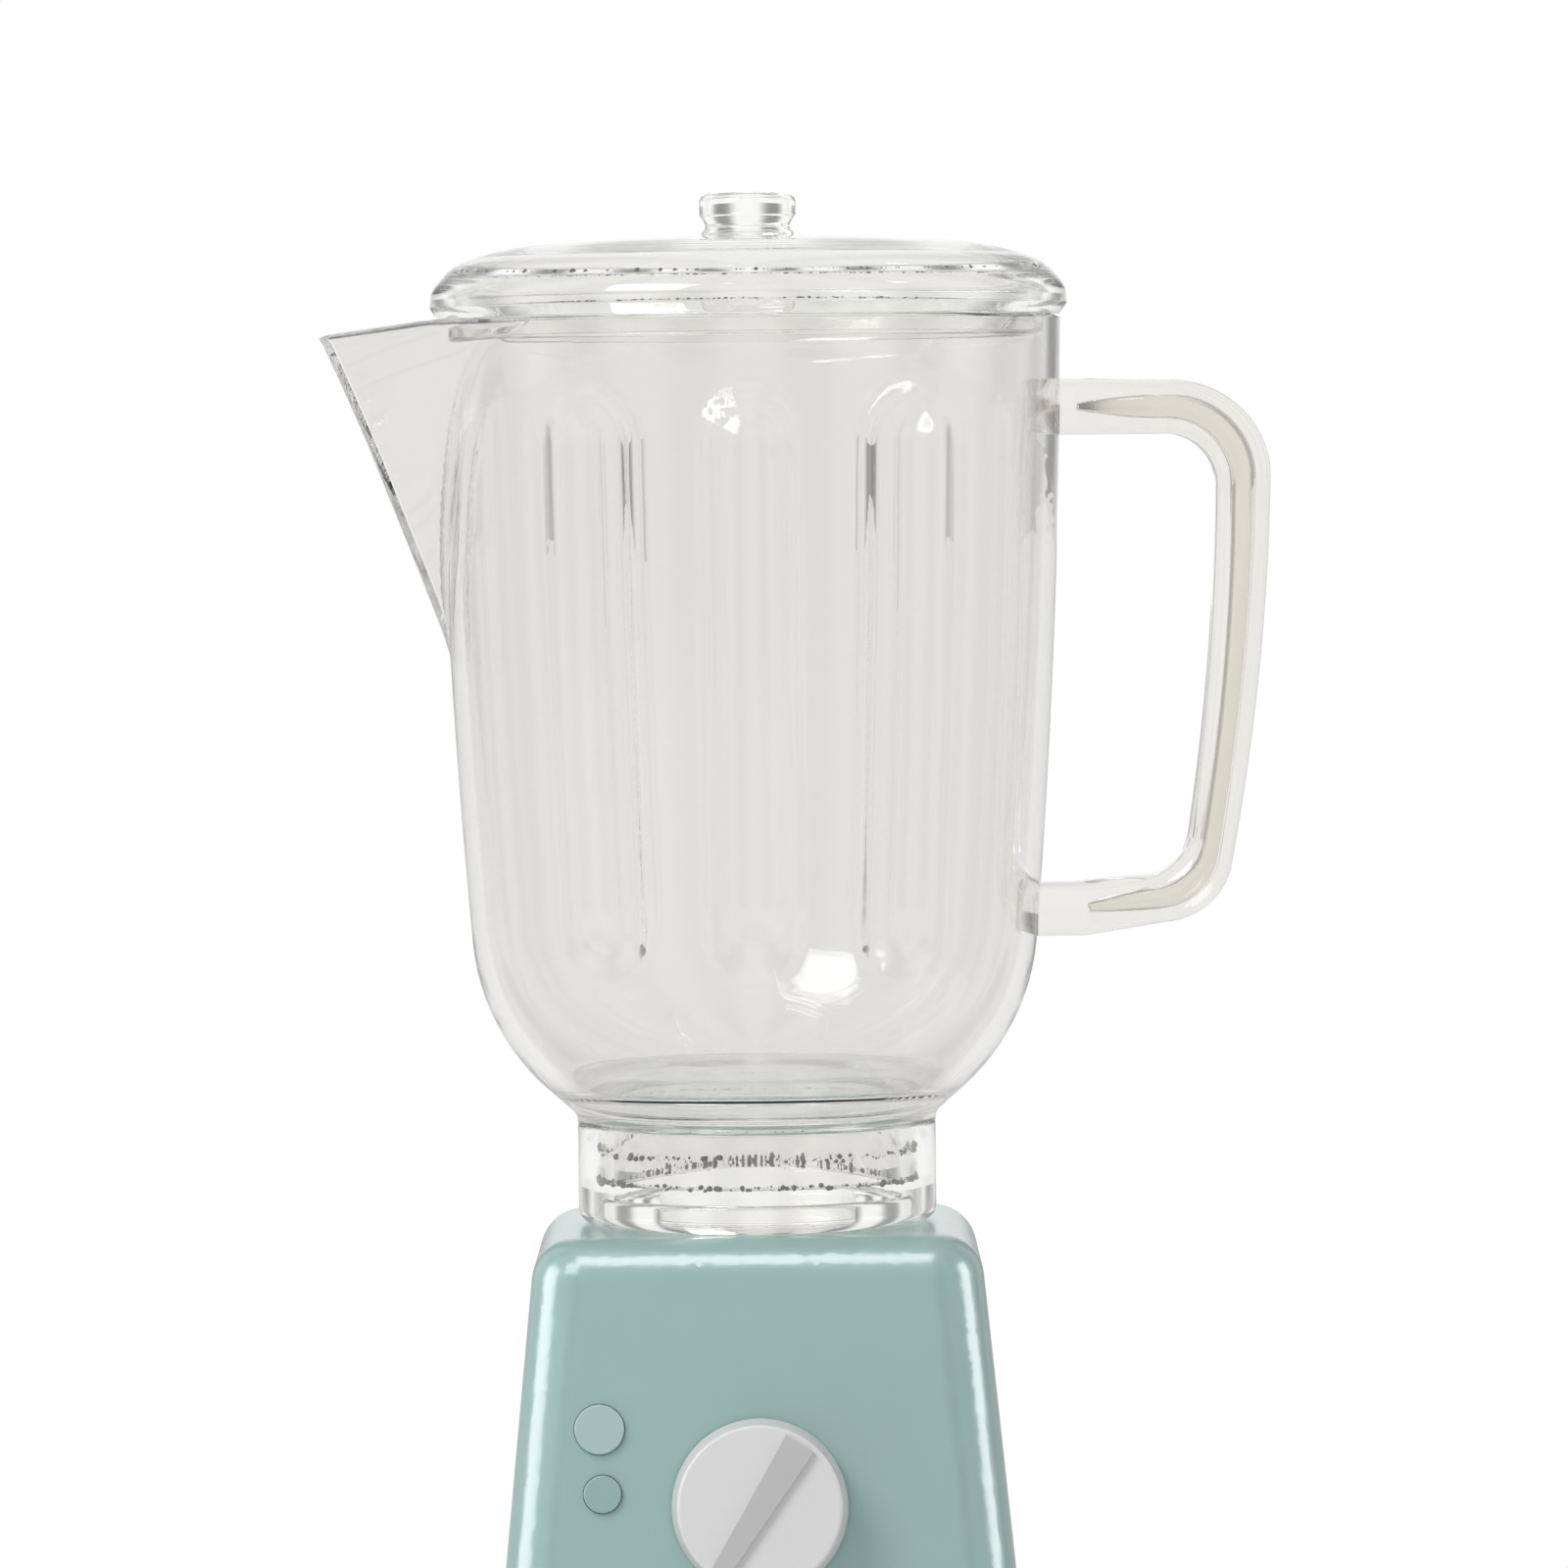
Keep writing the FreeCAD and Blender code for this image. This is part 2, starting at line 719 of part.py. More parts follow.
def make_battery_door():
    """The door that closes the bay from below, with its ear and screw."""
    low = (f"-({BAY_HALF_LENGTH}) - door_lip + door_gap",
           f"bay_place - ({BAY_HALF_WIDTH}) - door_lip + door_gap", "plate_recess")
    high = (f"{BAY_HALF_LENGTH} + door_lip - door_gap",
            f"bay_place + {BAY_HALF_WIDTH} + door_lip - door_gap", "plate_recess + plate_thick / 2")
    leaf = block("door_leaf", low, high)
    ear = rod("door_ear", ("0", DOOR_SCREW, "plate_recess"), "screw_head_radius + door_ear_wall - door_gap",
              "plate_thick / 2")
    hole = rod("door_hole", ("0", DOOR_SCREW, "0"), "screw_radius + hole_ease", "2 * plate_recess")
    keep("battery_door", cut("battery_door", fuse("door_with_ear", [leaf, ear]), hole))
    place = ("0", DOOR_SCREW, "plate_recess")
    keep("battery_door_screw", screw("battery_door_screw", place, "screw_radius - screw_ease",
                                     "screw_head_radius", "screw_head_thick", "door_screw_reach"))


def cell_side(number):
    """Where a cell's axis lies front to back, as an expression."""
    sign = -1 if number == 0 else 1
    return f"bay_place + {sign} * ({CELL_STEP})"


def make_cells():
    """Two AA cells that lie along X, head to tail, each with its nipple."""
    for number in (0, 1):
        way = 1 if number == 0 else -1
        body = new_body(f"battery_{number + 1}")
        can = circle(new_sketch(body, f"cell_{number}_can", lift="-cell_length / 2"), "0", "0", "cell_radius")
        pad(body, can, "cell_length - nipple_rise", f"cell_{number}_pad")
        fillet(body, lambda edge: isinstance(edge.Curve, Part.Circle), "cell_edge_round",
               f"cell_{number}_round")
        cap = circle(new_sketch(body, f"cell_{number}_cap", lift="cell_length / 2 - nipple_rise"),
                     "0", "0", "nipple_radius")
        pad(body, cap, "nipple_rise", f"cell_{number}_nipple")
        spot = V(0, size(cell_side(number)), size(CELL_AXIS))
        body.Placement = FreeCAD.Placement(spot, FreeCAD.Rotation(V(0, 1, 0), 90 * way))
        keep(f"battery_{number + 1}", body)


def contact_plate(name, inner, outer, sides):
    """A spring plate across the bay's end, between two places along X and two along Y."""
    return block(f"{name}_plate",
                 (inner, f"{sides[0]} - contact_width / 2", f"{CELL_AXIS} - contact_width / 2"),
                 (outer, f"{sides[1]} + contact_width / 2", f"{CELL_AXIS} + contact_width / 2"))


def plate_bump(name, start, number):
    """The bump on a contact plate that meets a cell's nipple."""
    bump = doc.addObject("Part::Cylinder", f"{name}_bump")
    bind(bump, "Radius", "nipple_radius")
    bind(bump, "Height", "bay_spare / 2 - contact_thick - spring_clearance")
    bump.Placement = FreeCAD.Placement(V(size(start), size(cell_side(number)), size(CELL_AXIS)),
                                       FreeCAD.Rotation(V(0, 1, 0), 90))
    return bump


def make_contacts():
    """Spring plates at the ends of the bay: one joins the cells, two lead away."""
    wall = BAY_HALF_LENGTH
    link = contact_plate("contact_link", f"{wall} - contact_thick", wall, (cell_side(0), cell_side(1)))
    bump = plate_bump("contact_link", "cell_length / 2 + spring_clearance", 0)
    keep("contact_link", fuse("contact_link", [link, bump]))

    low, high = f"-({wall})", f"-({wall}) + contact_thick"
    plus = contact_plate("contact_plus", low, high, (cell_side(1), cell_side(1)))
    bump = plate_bump("contact_plus", f"-({wall}) + contact_thick", 1)
    keep("contact_plus", fuse("contact_plus", [plus, bump]))
    keep("contact_minus", contact_plate("contact_minus", low, high, (cell_side(0), cell_side(0))))

    keep("battery_spring_minus", coil("battery_spring_minus", 0, -1))
    keep("battery_spring_link", coil("battery_spring_link", 1, 1))


COIL_POINTS = 8


def coil(name, number, way):
    """A short coil spring between a cell's flat end and its contact plate."""
    wire = size("spring_wire") / 2
    radius = size("spring_radius")
    room = size("bay_spare / 2 - contact_thick - spring_wire - 2 * spring_clearance")
    steps = COIL_POINTS * SIZES["spring_turns"]
    bearings = [math.tau * step / COIL_POINTS for step in range(steps + 1)]
    places = [V(radius * math.cos(bearing), radius * math.sin(bearing), room * step / steps)
              for step, bearing in enumerate(bearings)]
    line = Part.BSplineCurve()
    line.interpolate(places)
    start_way = line.tangent(line.FirstParameter)[0]
    ring = Part.Wire([Part.makeCircle(wire, places[0], start_way)])
    spring = doc.addObject("Part::Feature", name)
    spring.Shape = Part.Wire([line.toShape()]).makePipeShell([ring], True, True)
    start = way * (size("cell_length / 2 + spring_clearance") + wire)
    spring.Placement = FreeCAD.Placement(V(start, size(cell_side(number)), size(CELL_AXIS)),
                                         FreeCAD.Rotation(V(0, 1, 0), 90 * way))
    return spring


SPEAKER_FLOOR = "plate_recess + plate_thick"


def make_speaker():
    """A small speaker that faces down through the slots: frame, cone and magnet."""
    top = f"{SPEAKER_FLOOR} + speaker_depth"
    throat = "magnet_radius - speaker_rim"
    frame_points = [
        ("speaker_radius - speaker_rim", SPEAKER_FLOOR),
        ("speaker_radius", SPEAKER_FLOOR),
        ("speaker_radius", top),
        (throat, top),
        (throat, f"{top} - speaker_rim / 2"),
        ("speaker_radius - speaker_rim", f"{top} - speaker_rim / 2"),
    ]
    rim = "speaker_radius - speaker_rim - speaker_gap"
    cone_low = f"{SPEAKER_FLOOR} + cone_lift"
    cone_high = f"{top} - speaker_rim / 2 - 2 * speaker_gap"
    cone_points = [
        ("0", f"{cone_high} - cone_thick"),
        ("magnet_radius", f"{cone_high} - cone_thick"),
        (rim, cone_low),
        (rim, f"{cone_low} + cone_thick"),
        ("magnet_radius", cone_high),
        ("0", cone_high),
    ]
    magnet_points = [
        ("0", f"{top} - speaker_rim / 2"),
        (f"{throat} - speaker_gap", f"{top} - speaker_rim / 2"),
        (f"{throat} - speaker_gap", top),
        ("magnet_radius", top),
        ("magnet_radius", f"{top} + magnet_thick"),
        ("0", f"{top} + magnet_thick"),
    ]
    pieces = (("speaker_frame", frame_points), ("speaker_cone", cone_points),
              ("speaker_magnet", magnet_points))
    for name, points in pieces:
        body = turned(name, points)
        body.Placement = FreeCAD.Placement(V(0, -size("speaker_place"), 0), FreeCAD.Rotation())
        keep(name, body)


def make_dial():
    """The round knob with its raised pointer, on the spindle of a rotary switch."""
    top = "dial_lift + dial_depth"
    ceiling = f"{top} - dial_skin"
    points = [
        ("dial_radius - dial_skin", "dial_lift"),
        ("dial_radius", "dial_lift"),
        ("dial_face_radius", top),
        ("0", top),
        ("0", ceiling),
        ("dial_face_radius - dial_skin", ceiling),
    ]
    body = turned("dial_knob", points, [("dial_face_radius", top, "dial_edge_round")])
    hub = circle(new_sketch(body, "hub_sketch", lift=f"{ceiling} + dial_skin / 2"), "0", "0",
                 "dial_hub_radius")
    pad(body, hub, f"{ceiling} + dial_skin / 2 - dial_lift", "hub_pad", backwards=True)
    bore = circle(new_sketch(body, "hub_bore_sketch", lift="dial_lift"), "0", "0", "spindle_radius")
    pocket(body, bore, "socket_depth", "hub_bore", backwards=True)
    ridge = new_sketch(body, "pointer_sketch", lift=f"{top} - dial_edge_round / 2")
    outline(ridge, [
        ("-pointer_narrow / 2", "-pointer_reach"),
        ("pointer_narrow / 2", "-pointer_reach"),
        ("pointer_wide / 2", "pointer_reach"),
        ("-pointer_wide / 2", "pointer_reach"),
    ])
    pad(body, ridge, "pointer_rise + dial_edge_round / 2", "pointer_pad")
    on_front(body)
    spin = FreeCAD.Placement(V(0, 0, 0), FreeCAD.Rotation(V(0, 0, 1), -size("pointer_turn")))
    body.Placement = body.Placement.multiply(spin)
    keep("dial_knob", body)

    tail = "-board_depth + switch_wall + spindle_end_gap"
    spindle = new_body("dial_spindle")
    stem = circle(new_sketch(spindle, "stem_sketch", lift=tail), "0", "0", "spindle_radius")
    pad(spindle, stem, f"dial_lift + socket_depth - ({tail})", "stem_pad")
    keep("dial_spindle", on_front(spindle))

    wheel = new_body("detent_wheel")
    low = "-board_depth + switch_wall + detent_gap"
    disc = circle(new_sketch(wheel, "wheel_sketch", lift=low), "0", "0", "detent_radius")
    circle(disc, "0", "0", "spindle_radius")
    pad(wheel, disc, "detent_thick", "wheel_pad")
    notch = circle(new_sketch(wheel, "notch_sketch", lift=low), "detent_radius", "0", "detent_notch")
    first = pocket(wheel, notch, "detent_thick", "notch_cut", backwards=True)
    ring = wheel.newObject("PartDesign::PolarPattern", "notch_ring")
    ring.Originals = [first]
    ring.Axis = (notch, ["N_Axis"])
    ring.Angle = 360
    bind(ring, "Occurrences", "detent_count")
    wheel.Tip = ring
    doc.recompute()
    keep("detent_wheel", on_front(wheel))


def make_rotary_switch():
    """The switch case on the board, whose bush reaches through the shell wall, and its leaf spring."""
    floor = "-board_depth"
    lid = f"{floor} + switch_depth"
    bore = "spindle_radius + spindle_gap"
    points = [
        ("0", floor),
        ("switch_radius", floor),
        ("switch_radius", lid),
        ("bush_radius", lid),
        ("bush_radius", "0"),
        (bore, "0"),
        (bore, f"{lid} - switch_wall"),
        ("switch_radius - switch_wall", f"{lid} - switch_wall"),
        ("switch_radius - switch_wall", f"{floor} + switch_wall"),
        ("0", f"{floor} + switch_wall"),
    ]
    keep("rotary_switch", on_front(turned("rotary_switch", points)))
    low = f"{floor} + switch_wall"
    leaf = block("leaf_strip",
                 ("-leaf_half_width", "detent_radius + leaf_gap", low),
                 ("leaf_half_width", "detent_radius + leaf_gap + leaf_thick",
                  f"{low} + detent_thick + leaf_extra_height"))
    nub = rod("leaf_nub", ("0", "detent_radius + 2 * leaf_gap", f"{low} + detent_gap"),
              "detent_notch - leaf_gap", "detent_thick")
    for thing in (leaf, nub):
        shift_to_front(thing)
    keep("detent_leaf", fuse("detent_leaf", [leaf, nub]))


def make_buttons():
    """Two push buttons, each a cap with a flange and stem over a rubber dome on the board."""
    for kind in ("large", "small"):
        side, rise, radius = f"-{kind}_button_side", f"{kind}_button_rise", f"{kind}_button_radius"
        name = f"button_{kind}"
        body = new_body(name)
        shelf = "-shell_wall - button_play"
        stem_end = f"{shelf} - button_flange_thick - stem_radius"
        points = [
            ("0", stem_end),
            ("stem_radius", stem_end),
            ("stem_radius", f"{shelf} - button_flange_thick"),
            (f"{radius} + button_flange", f"{shelf} - button_flange_thick"),
            (f"{radius} + button_flange", shelf),
            (radius, shelf),
            (radius, "button_stand"),
            ("0", "button_stand"),
        ]
        turn(body, outline(new_sketch(body, f"{name}_profile", "XZ_Plane"), points), f"{name}_turned")
        fillet(body, ring_edge(radius, "button_stand"), "button_edge_round", f"{name}_round")
        keep(name, on_front(body, side, rise))

        # The dome's foot is glued to the board and its crown carries the stem.
        dome = turned(f"{name}_dome", [
            (f"{radius} - dome_wall", "-board_depth"),
            (f"{radius} + dome_wall", "-board_depth"),
            (f"{radius} + dome_wall", "-board_depth + dome_wall"),
            ("stem_radius + dome_wall", stem_end),
            ("0", stem_end),
            ("0", f"{stem_end} - 2 * dome_wall"),
            ("stem_radius", f"{stem_end} - 2 * dome_wall"),
        ])
        keep(f"{name}_dome", on_front(dome, side, rise))


def make_board():
    """The circuit board behind the front wall, its four screws and the sound chip."""
    body = new_body("circuit_board")
    rear = "-board_depth - board_thick"
    sketch = outline(new_sketch(body, "board_sketch", lift=rear), [
        ("-board_width / 2", "-board_drop"),
        ("board_width / 2", "-board_drop"),
        ("board_width / 2", "board_climb"),
        ("-board_width / 2", "board_climb"),
    ])
    pad(body, sketch, "board_thick", "board_pad")
    holes = new_sketch(body, "board_holes", lift=rear)
    for side, up in board_posts():
        circle(holes, side, up, "board_screw_radius + hole_ease")
    pocket(body, holes, "board_thick", "board_hole_cut", backwards=True)
    keep("circuit_board", on_front(body))

    pieces = []
    for number, (side, up) in enumerate(board_posts()):
        stem = rod(f"board_stem_{number}", (side, up, rear), "board_screw_radius - screw_ease",
                   "board_thick + board_screw_reach")
        cap = rod(f"board_head_{number}", (side, up, f"{rear} - board_screw_head_thick"),
                  "board_screw_head", "board_screw_head_thick")
        for thing in (stem, cap):
            shift_to_front(thing)
        pieces.append(fuse(f"board_screw_{number}", [cap, stem]))
    keep("board_screws", gather("board_screws", pieces))

    chip = block("sound_chip",
                 ("-chip_width / 2", "board_climb - chip_width - chip_inset", f"{rear} - chip_thick"),
                 ("chip_width / 2", "board_climb - chip_inset", rear))
    keep("sound_chip", shift_to_front(chip))


NECK_TOP = "neck_height + neck_land"
SHOULDER = f"{NECK_TOP} + shoulder_rise"
JUG_FLOOR = f"{NECK_TOP} + floor_rise"


def barrel_radius(height):
    """The jug's outer radius at a height, on the long arc of its side."""
    low, high = size(SHOULDER), size("rim_height")
    share = (height - low) / (high - low)
    chord = size("shoulder_radius") + share * size("rim_radius - shoulder_radius")
    return chord + (height - low) * (high - height) / (2 * size("barrel_round"))


def jug_form(name, inset, foot):
    """The jug's turned form, its wall moved in by an inset, down to a foot or a flat floor."""
    points = [
        ("0", "rim_height + trim"),
        (f"rim_radius - ({inset})", "rim_height + trim"),
        (f"rim_radius - ({inset})", "rim_height"),
        (f"shoulder_radius - ({inset})", f"{SHOULDER} + ({inset}) * shoulder_inner_rise"),
    ] + foot
    rounds = [(points[3][0], points[3][1], f"shoulder_round - ({inset})")]
    return turned(name, points, rounds, {2: (f"barrel_round - ({inset})", -1)})


def capsules(name, radius):
    """Six round-ended rods laid along the jug wall, which press the flutes into it."""
    reach = size("flute_radius - flute_depth")
    high, low = size("flute_high"), size("flute_low")
    rods = []
    for side in (-90, 90):
        for step in (-1, 0, 1):
            bearing = math.radians(side + step * size("flute_pitch"))
            way = V(math.cos(bearing), math.sin(bearing), 0)
            start = way * (barrel_radius(low) + reach) + V(0, 0, low)
            end = way * (barrel_radius(high) + reach) + V(0, 0, high)
            shaft = Part.makeCylinder(size(radius), (end - start).Length, start, end - start)
            rods.append(shaft.fuse([Part.makeSphere(size(radius), start), Part.makeSphere(size(radius), end)]))
    group = doc.addObject("Part::Feature", name)
    group.Shape = Part.makeCompound(rods)
    return group


def spout_form(name, inset):
    """The pointed spout: a rounded wedge run down along the leaning line of its tip."""
    radius = size(f"spout_tip_radius - ({inset})")
    half = math.radians(size("spout_half_angle"))
    lean = math.tan(math.radians(size("spout_lean")))
    top = size("rim_height + trim")
    centre = -(size("spout_reach - spout_tip_radius") + (top - size("spout_top")) * lean)
    side = V(-math.sin(half), math.cos(half), 0) * radius
    run = V(math.cos(half), math.sin(half), 0) * size("rim_radius - spout_tip_radius")
    sketch = new_sketch(None, f"{name}_section")
    sketch.Placement = FreeCAD.Placement(V(centre, 0, top), FreeCAD.Rotation())
    far = side + run

    def mirrored(point):
        return V(point.x, -point.y, 0)

    arc_span = math.pi / 2 - half
    sketch.addGeometry(Part.ArcOfCircle(Part.Circle(V(0, 0, 0), V(0, 0, 1), radius),
                                        math.pi - arc_span, math.pi + arc_span))
    sketch.addGeometry(Part.LineSegment(side, far))
    sketch.addGeometry(Part.LineSegment(far, mirrored(far)))
    sketch.addGeometry(Part.LineSegment(mirrored(far), mirrored(side)))
    drop = top - size("spout_foot")
    form = doc.addObject("Part::Extrusion", name)
    form.Base = sketch
    form.DirMode = "Custom"
    form.Dir = V(lean, 0, -1)
    form.LengthFwd = drop / math.cos(math.radians(size("spout_lean")))
    form.Solid = True
    return form


def make_jug():
    """The clear jug: barrel, spout, flutes, floor and the stub that fits in the collar."""
    stub = "collar_radius - collar_wall - stub_gap"
    # The shoulder's lower side climbs from the neck to the widest corner.
    outer_foot = [
        ("collar_radius", NECK_TOP),
        ("collar_radius", "neck_height"),
        (stub, "neck_height"),
        (stub, "stub_bottom"),
        ("0", "stub_bottom"),
    ]
    outer = jug_form("jug_outside", "0", outer_foot)
    fillet(outer, ring_edge("collar_radius", NECK_TOP), "neck_round", "neck_blend")
    flare = "shoulder_rise / (shoulder_radius - collar_radius)"
    floor_edge = f"collar_radius - jug_wall * floor_edge_share + (floor_rise - jug_wall) / ({flare})"
    inner = jug_form("jug_inside", "jug_wall", [(floor_edge, JUG_FLOOR), ("0", JUG_FLOOR)])

    spout_out = spout_form("spout_outside", "0")
    spout_in = spout_form("spout_inside", "jug_wall")
    flutes_out = capsules("flute_grooves", "flute_radius")
    flutes_in = capsules("flute_ribs", "flute_radius + jug_wall")
    shape_out = cut("jug_outer_form", fuse("jug_and_spout", [outer, spout_out]), flutes_out)
    shape_in = cut("jug_inner_form", fuse("hollow_and_spout", [inner, spout_in]), flutes_in)
    under = rod("stub_hollow", ("0", "0", "stub_bottom - 1"), f"{stub} - stub_wall",
                f"{JUG_FLOOR} - floor_thick - stub_bottom + 1")
    reach = "2 * spout_reach"
    top = block("rim_cut", (f"-{reach}", f"-{reach}", "rim_height"), (reach, reach, "rim_height + 2 * trim"))
    # The rim dips towards the tip of the spout.
    dip = block("spout_dip", ("-spout_reach", "-rim_radius", "0"), ("0", "rim_radius", "spout_reach"))
    slope = math.degrees(math.atan2(size("rim_height - spout_top"), size("spout_reach - rim_radius")))
    doc.recompute()
    local = dip.Placement
    unbind_place(dip)
    corner = V(-size("rim_radius"), 0, size("rim_height"))
    dip.Placement = FreeCAD.Placement(corner, FreeCAD.Rotation(V(0, 1, 0), -slope)).multiply(local)
    tools = fuse("jug_cuts", [shape_in, under, top, dip])
    keep("jug_body", cut("jug_body", shape_out, tools))
    return shape_out


def make_collar():
    """The clear ring under the jug, screwed to its stub, which stands on the base."""
    bore = "collar_radius - collar_wall"
    points = [
        (bore, "base_height"),
        ("collar_radius", "base_height"),
        ("collar_radius", "neck_height"),
        (bore, "neck_height"),
    ]
    rounds = [
        ("collar_radius", "base_height", "collar_foot_round"),
        ("collar_radius", "neck_height", "collar_top_round"),
    ]
    keep("jug_collar", turned("jug_collar", points, rounds))


def make_handle(jug):
    """The clear handle: an outline cut from thick stock, rounded, and bonded to the jug's wall."""
    body = new_body("handle_form")
    sketch = new_sketch(body, "handle_outline", "XZ_Plane")
    points = [
        ("handle_root", "arm_top"),
        ("grip_out", "arm_top - arm_top_fall"),
        ("grip_low_out", "low_arm_under"),
        ("handle_root", "low_root_under"),
        ("handle_root", "low_root_top"),
        ("grip_low_in", "low_arm_top"),
        ("grip_in", "arm_under"),
        ("handle_root", "arm_under"),
    ]
    bows = {1: ("grip_bow_out", -1), 5: ("grip_bow_in", 1)}
    pad(body, outline(sketch, points, bows), "handle_depth", "handle_pad", both=True)
    bends = [
        (1, "handle_bend_out"),
        (2, "handle_low_bend_out"),
        (5, "handle_low_bend_in"),
        (6, "handle_bend_in"),
    ]
    for number, radius in bends:
        spot = V(size(points[number][0]), 0, size(points[number][1]))

        def across(edge, spot=spot):
            if edge.BoundBox.YLength < size("handle_depth") - NEAR:
                return False
            middle = edge.CenterOfMass
            return math.hypot(middle.x - spot.x, middle.z - spot.z) < NEAR

        fillet(body, across, radius, f"handle_bend_{number}")
    root = size("handle_root")
    half = size("handle_depth") / 2

    def along(edge):
        box = edge.BoundBox
        return box.YLength < NEAR and abs(abs(box.YMin) - half) < NEAR and box.XMax > root + NEAR

    fillet(body, along, "handle_edge_round", "handle_soft_edges")
    keep("jug_handle", cut("jug_handle", body, jug))


def make_lid():
    """The clear lid: a shallow dome, the plug ring bonded under it, and a solid knob."""
    crown = "rim_height + lid_rise"
    ceiling = f"{crown} - lid_skin"
    land = "rim_height + lid_land_rise"
    brow = ("rim_radius - lid_brow_in", "rim_height + lid_rise * lid_brow_share")
    shoulder = ("rim_radius - lid_shoulder_in", "rim_height + lid_rise * lid_shoulder_share")
    side = ("rim_radius + lid_overhang", "rim_height + lid_rise * lid_side_share")
    skirt = "rim_radius - lid_skirt_in"
    land_inner = "rim_radius - lid_land_in"
    dome_points = [
        ("0", crown),
        ("knob_seat_radius", crown),
        brow,
        shoulder,
        side,
        ("rim_radius + lid_overhang", "rim_height + lid_widest_rise"),
        ("rim_radius - lid_foot_in", "rim_height"),
        (skirt, "rim_height"),
        (skirt, land),
        (land_inner, land),
        (f"{land_inner} - lid_cove_width", f"{ceiling} - lid_cove_drop"),
        (f"{land_inner} - lid_coving_width", f"{ceiling} - lid_coving_drop"),
        ("0", ceiling),
    ]
    keep("lid_dome", turned("lid_dome", dome_points, [
        (*side, "lid_side_round"),
        (*shoulder, "lid_shoulder_round"),
        (*brow, "lid_brow_round"),
    ]))

    outer = "rim_radius - jug_wall - plug_gap"
    inner = f"{outer} - plug_wall"
    foot = "rim_height - plug_drop"
    ring = turned("lid_plug_ring", [(inner, foot), (outer, foot), (outer, land), (inner, land)],
                  [(outer, foot, "plug_edge_round")])
    keep("lid_plug_ring", ring)

    top = f"{crown} + lid_knob_rise"
    belly = f"{crown} + lid_knob_belly_rise"
    knob = turned("lid_knob", [
        ("0", crown),
        ("lid_knob_foot_radius", crown),
        ("lid_knob_neck_radius", f"{crown} + lid_knob_neck_rise"),
        ("lid_knob_radius", belly),
        ("lid_knob_radius", top),
        ("0", top),
    ], [
        ("lid_knob_radius", top, "lid_knob_round"),
        ("lid_knob_radius", belly, "lid_knob_belly_round"),
    ])
    keep("lid_knob", knob)


def write_parts():
    """Check every object and piece, then write one file for each node."""
    doc.recompute()
    for thing in doc.Objects:
        if "Invalid" in thing.State or "Error" in thing.State:
            raise RuntimeError(f"{thing.Label} failed: {thing.State}")
    for name, thing in NODES.items():
        shape = thing.Shape
        if shape.isNull() or not shape.isValid() or not shape.Solids:
            raise RuntimeError(f"{name} has no valid solid")
    os.makedirs("parts", exist_ok=True)
    for name, thing in NODES.items():
        thing.Shape.exportStep(f"parts/{name}.step")
        print(f"{name}: {len(thing.Shape.Solids)} solid(s), {thing.Shape.Volume:.1f} mm3")


make_base_shell()
make_seat_ring()
make_base_plate()
make_base_plate_screws()
make_battery_door()
make_cells()
make_contacts()
make_speaker()
make_rotary_switch()
make_dial()
make_board()
make_buttons()
jug_form_shape = make_jug()
make_collar()
make_handle(jug_form_shape)
make_lid()
write_parts()
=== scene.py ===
"""Toy blender: a clear jug with a spout, handle and lid, standing on a satin mint base."""

import json
import math

import bmesh
import bpy
import numpy as np
from bpy.props import FloatProperty, FloatVectorProperty, IntProperty, PointerProperty
from mathutils import Matrix, Vector


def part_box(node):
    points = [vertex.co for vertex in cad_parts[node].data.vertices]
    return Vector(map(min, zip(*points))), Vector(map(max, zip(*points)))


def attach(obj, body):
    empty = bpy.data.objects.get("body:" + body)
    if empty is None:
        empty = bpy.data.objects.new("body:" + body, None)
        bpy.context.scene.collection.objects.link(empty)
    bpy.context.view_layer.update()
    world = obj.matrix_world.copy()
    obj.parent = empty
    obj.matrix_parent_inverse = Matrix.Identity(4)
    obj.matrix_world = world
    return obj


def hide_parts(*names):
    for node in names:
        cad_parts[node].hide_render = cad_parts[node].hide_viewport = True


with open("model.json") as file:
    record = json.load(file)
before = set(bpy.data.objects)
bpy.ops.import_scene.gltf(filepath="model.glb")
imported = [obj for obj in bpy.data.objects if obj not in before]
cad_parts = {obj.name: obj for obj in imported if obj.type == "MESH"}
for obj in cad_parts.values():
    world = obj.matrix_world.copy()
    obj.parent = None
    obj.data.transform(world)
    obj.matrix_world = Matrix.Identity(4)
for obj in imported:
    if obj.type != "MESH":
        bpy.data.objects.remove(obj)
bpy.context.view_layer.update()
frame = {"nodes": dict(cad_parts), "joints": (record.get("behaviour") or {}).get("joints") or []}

bl_info = {
    "name": "Toy blender",
    "version": (1, 0, 0),
    "blender": (4, 5, 0),
    "location": "View3D > Sidebar > Toy blender",
    "description": "Builds a clear toy blender jug on a mint base",
    "category": "Object",
}

MM = 0.001
HALF_TURN = math.pi
FULL_TURN = 2 * math.pi
SPOUT_BEARING = HALF_TURN
# Points closer than the gap are merged, and faces that bend less than the angle count as one flat face
MERGE_GAP = 0.002 * MM
FLAT_BEND = math.radians(0.3)
RING_SEGMENTS = 192
WHITE = (1.0, 1.0, 1.0, 1.0)


# Settings that a user would change

def linear(hex_colour):
    """A hex sRGB colour as linear red, green, blue and alpha."""
    parts = [int(hex_colour[i:i + 2], 16) / 255 for i in (1, 3, 5)]
    return [p / 12.92 if p <= 0.04045 else ((p + 0.055) / 1.055) ** 2.4 for p in parts] + [1.0]


def length(label, text, millimetres):
    """A length setting, given in millimetres and held in metres."""
    return FloatProperty(name=label, description=text, default=millimetres * MM, unit="LENGTH")


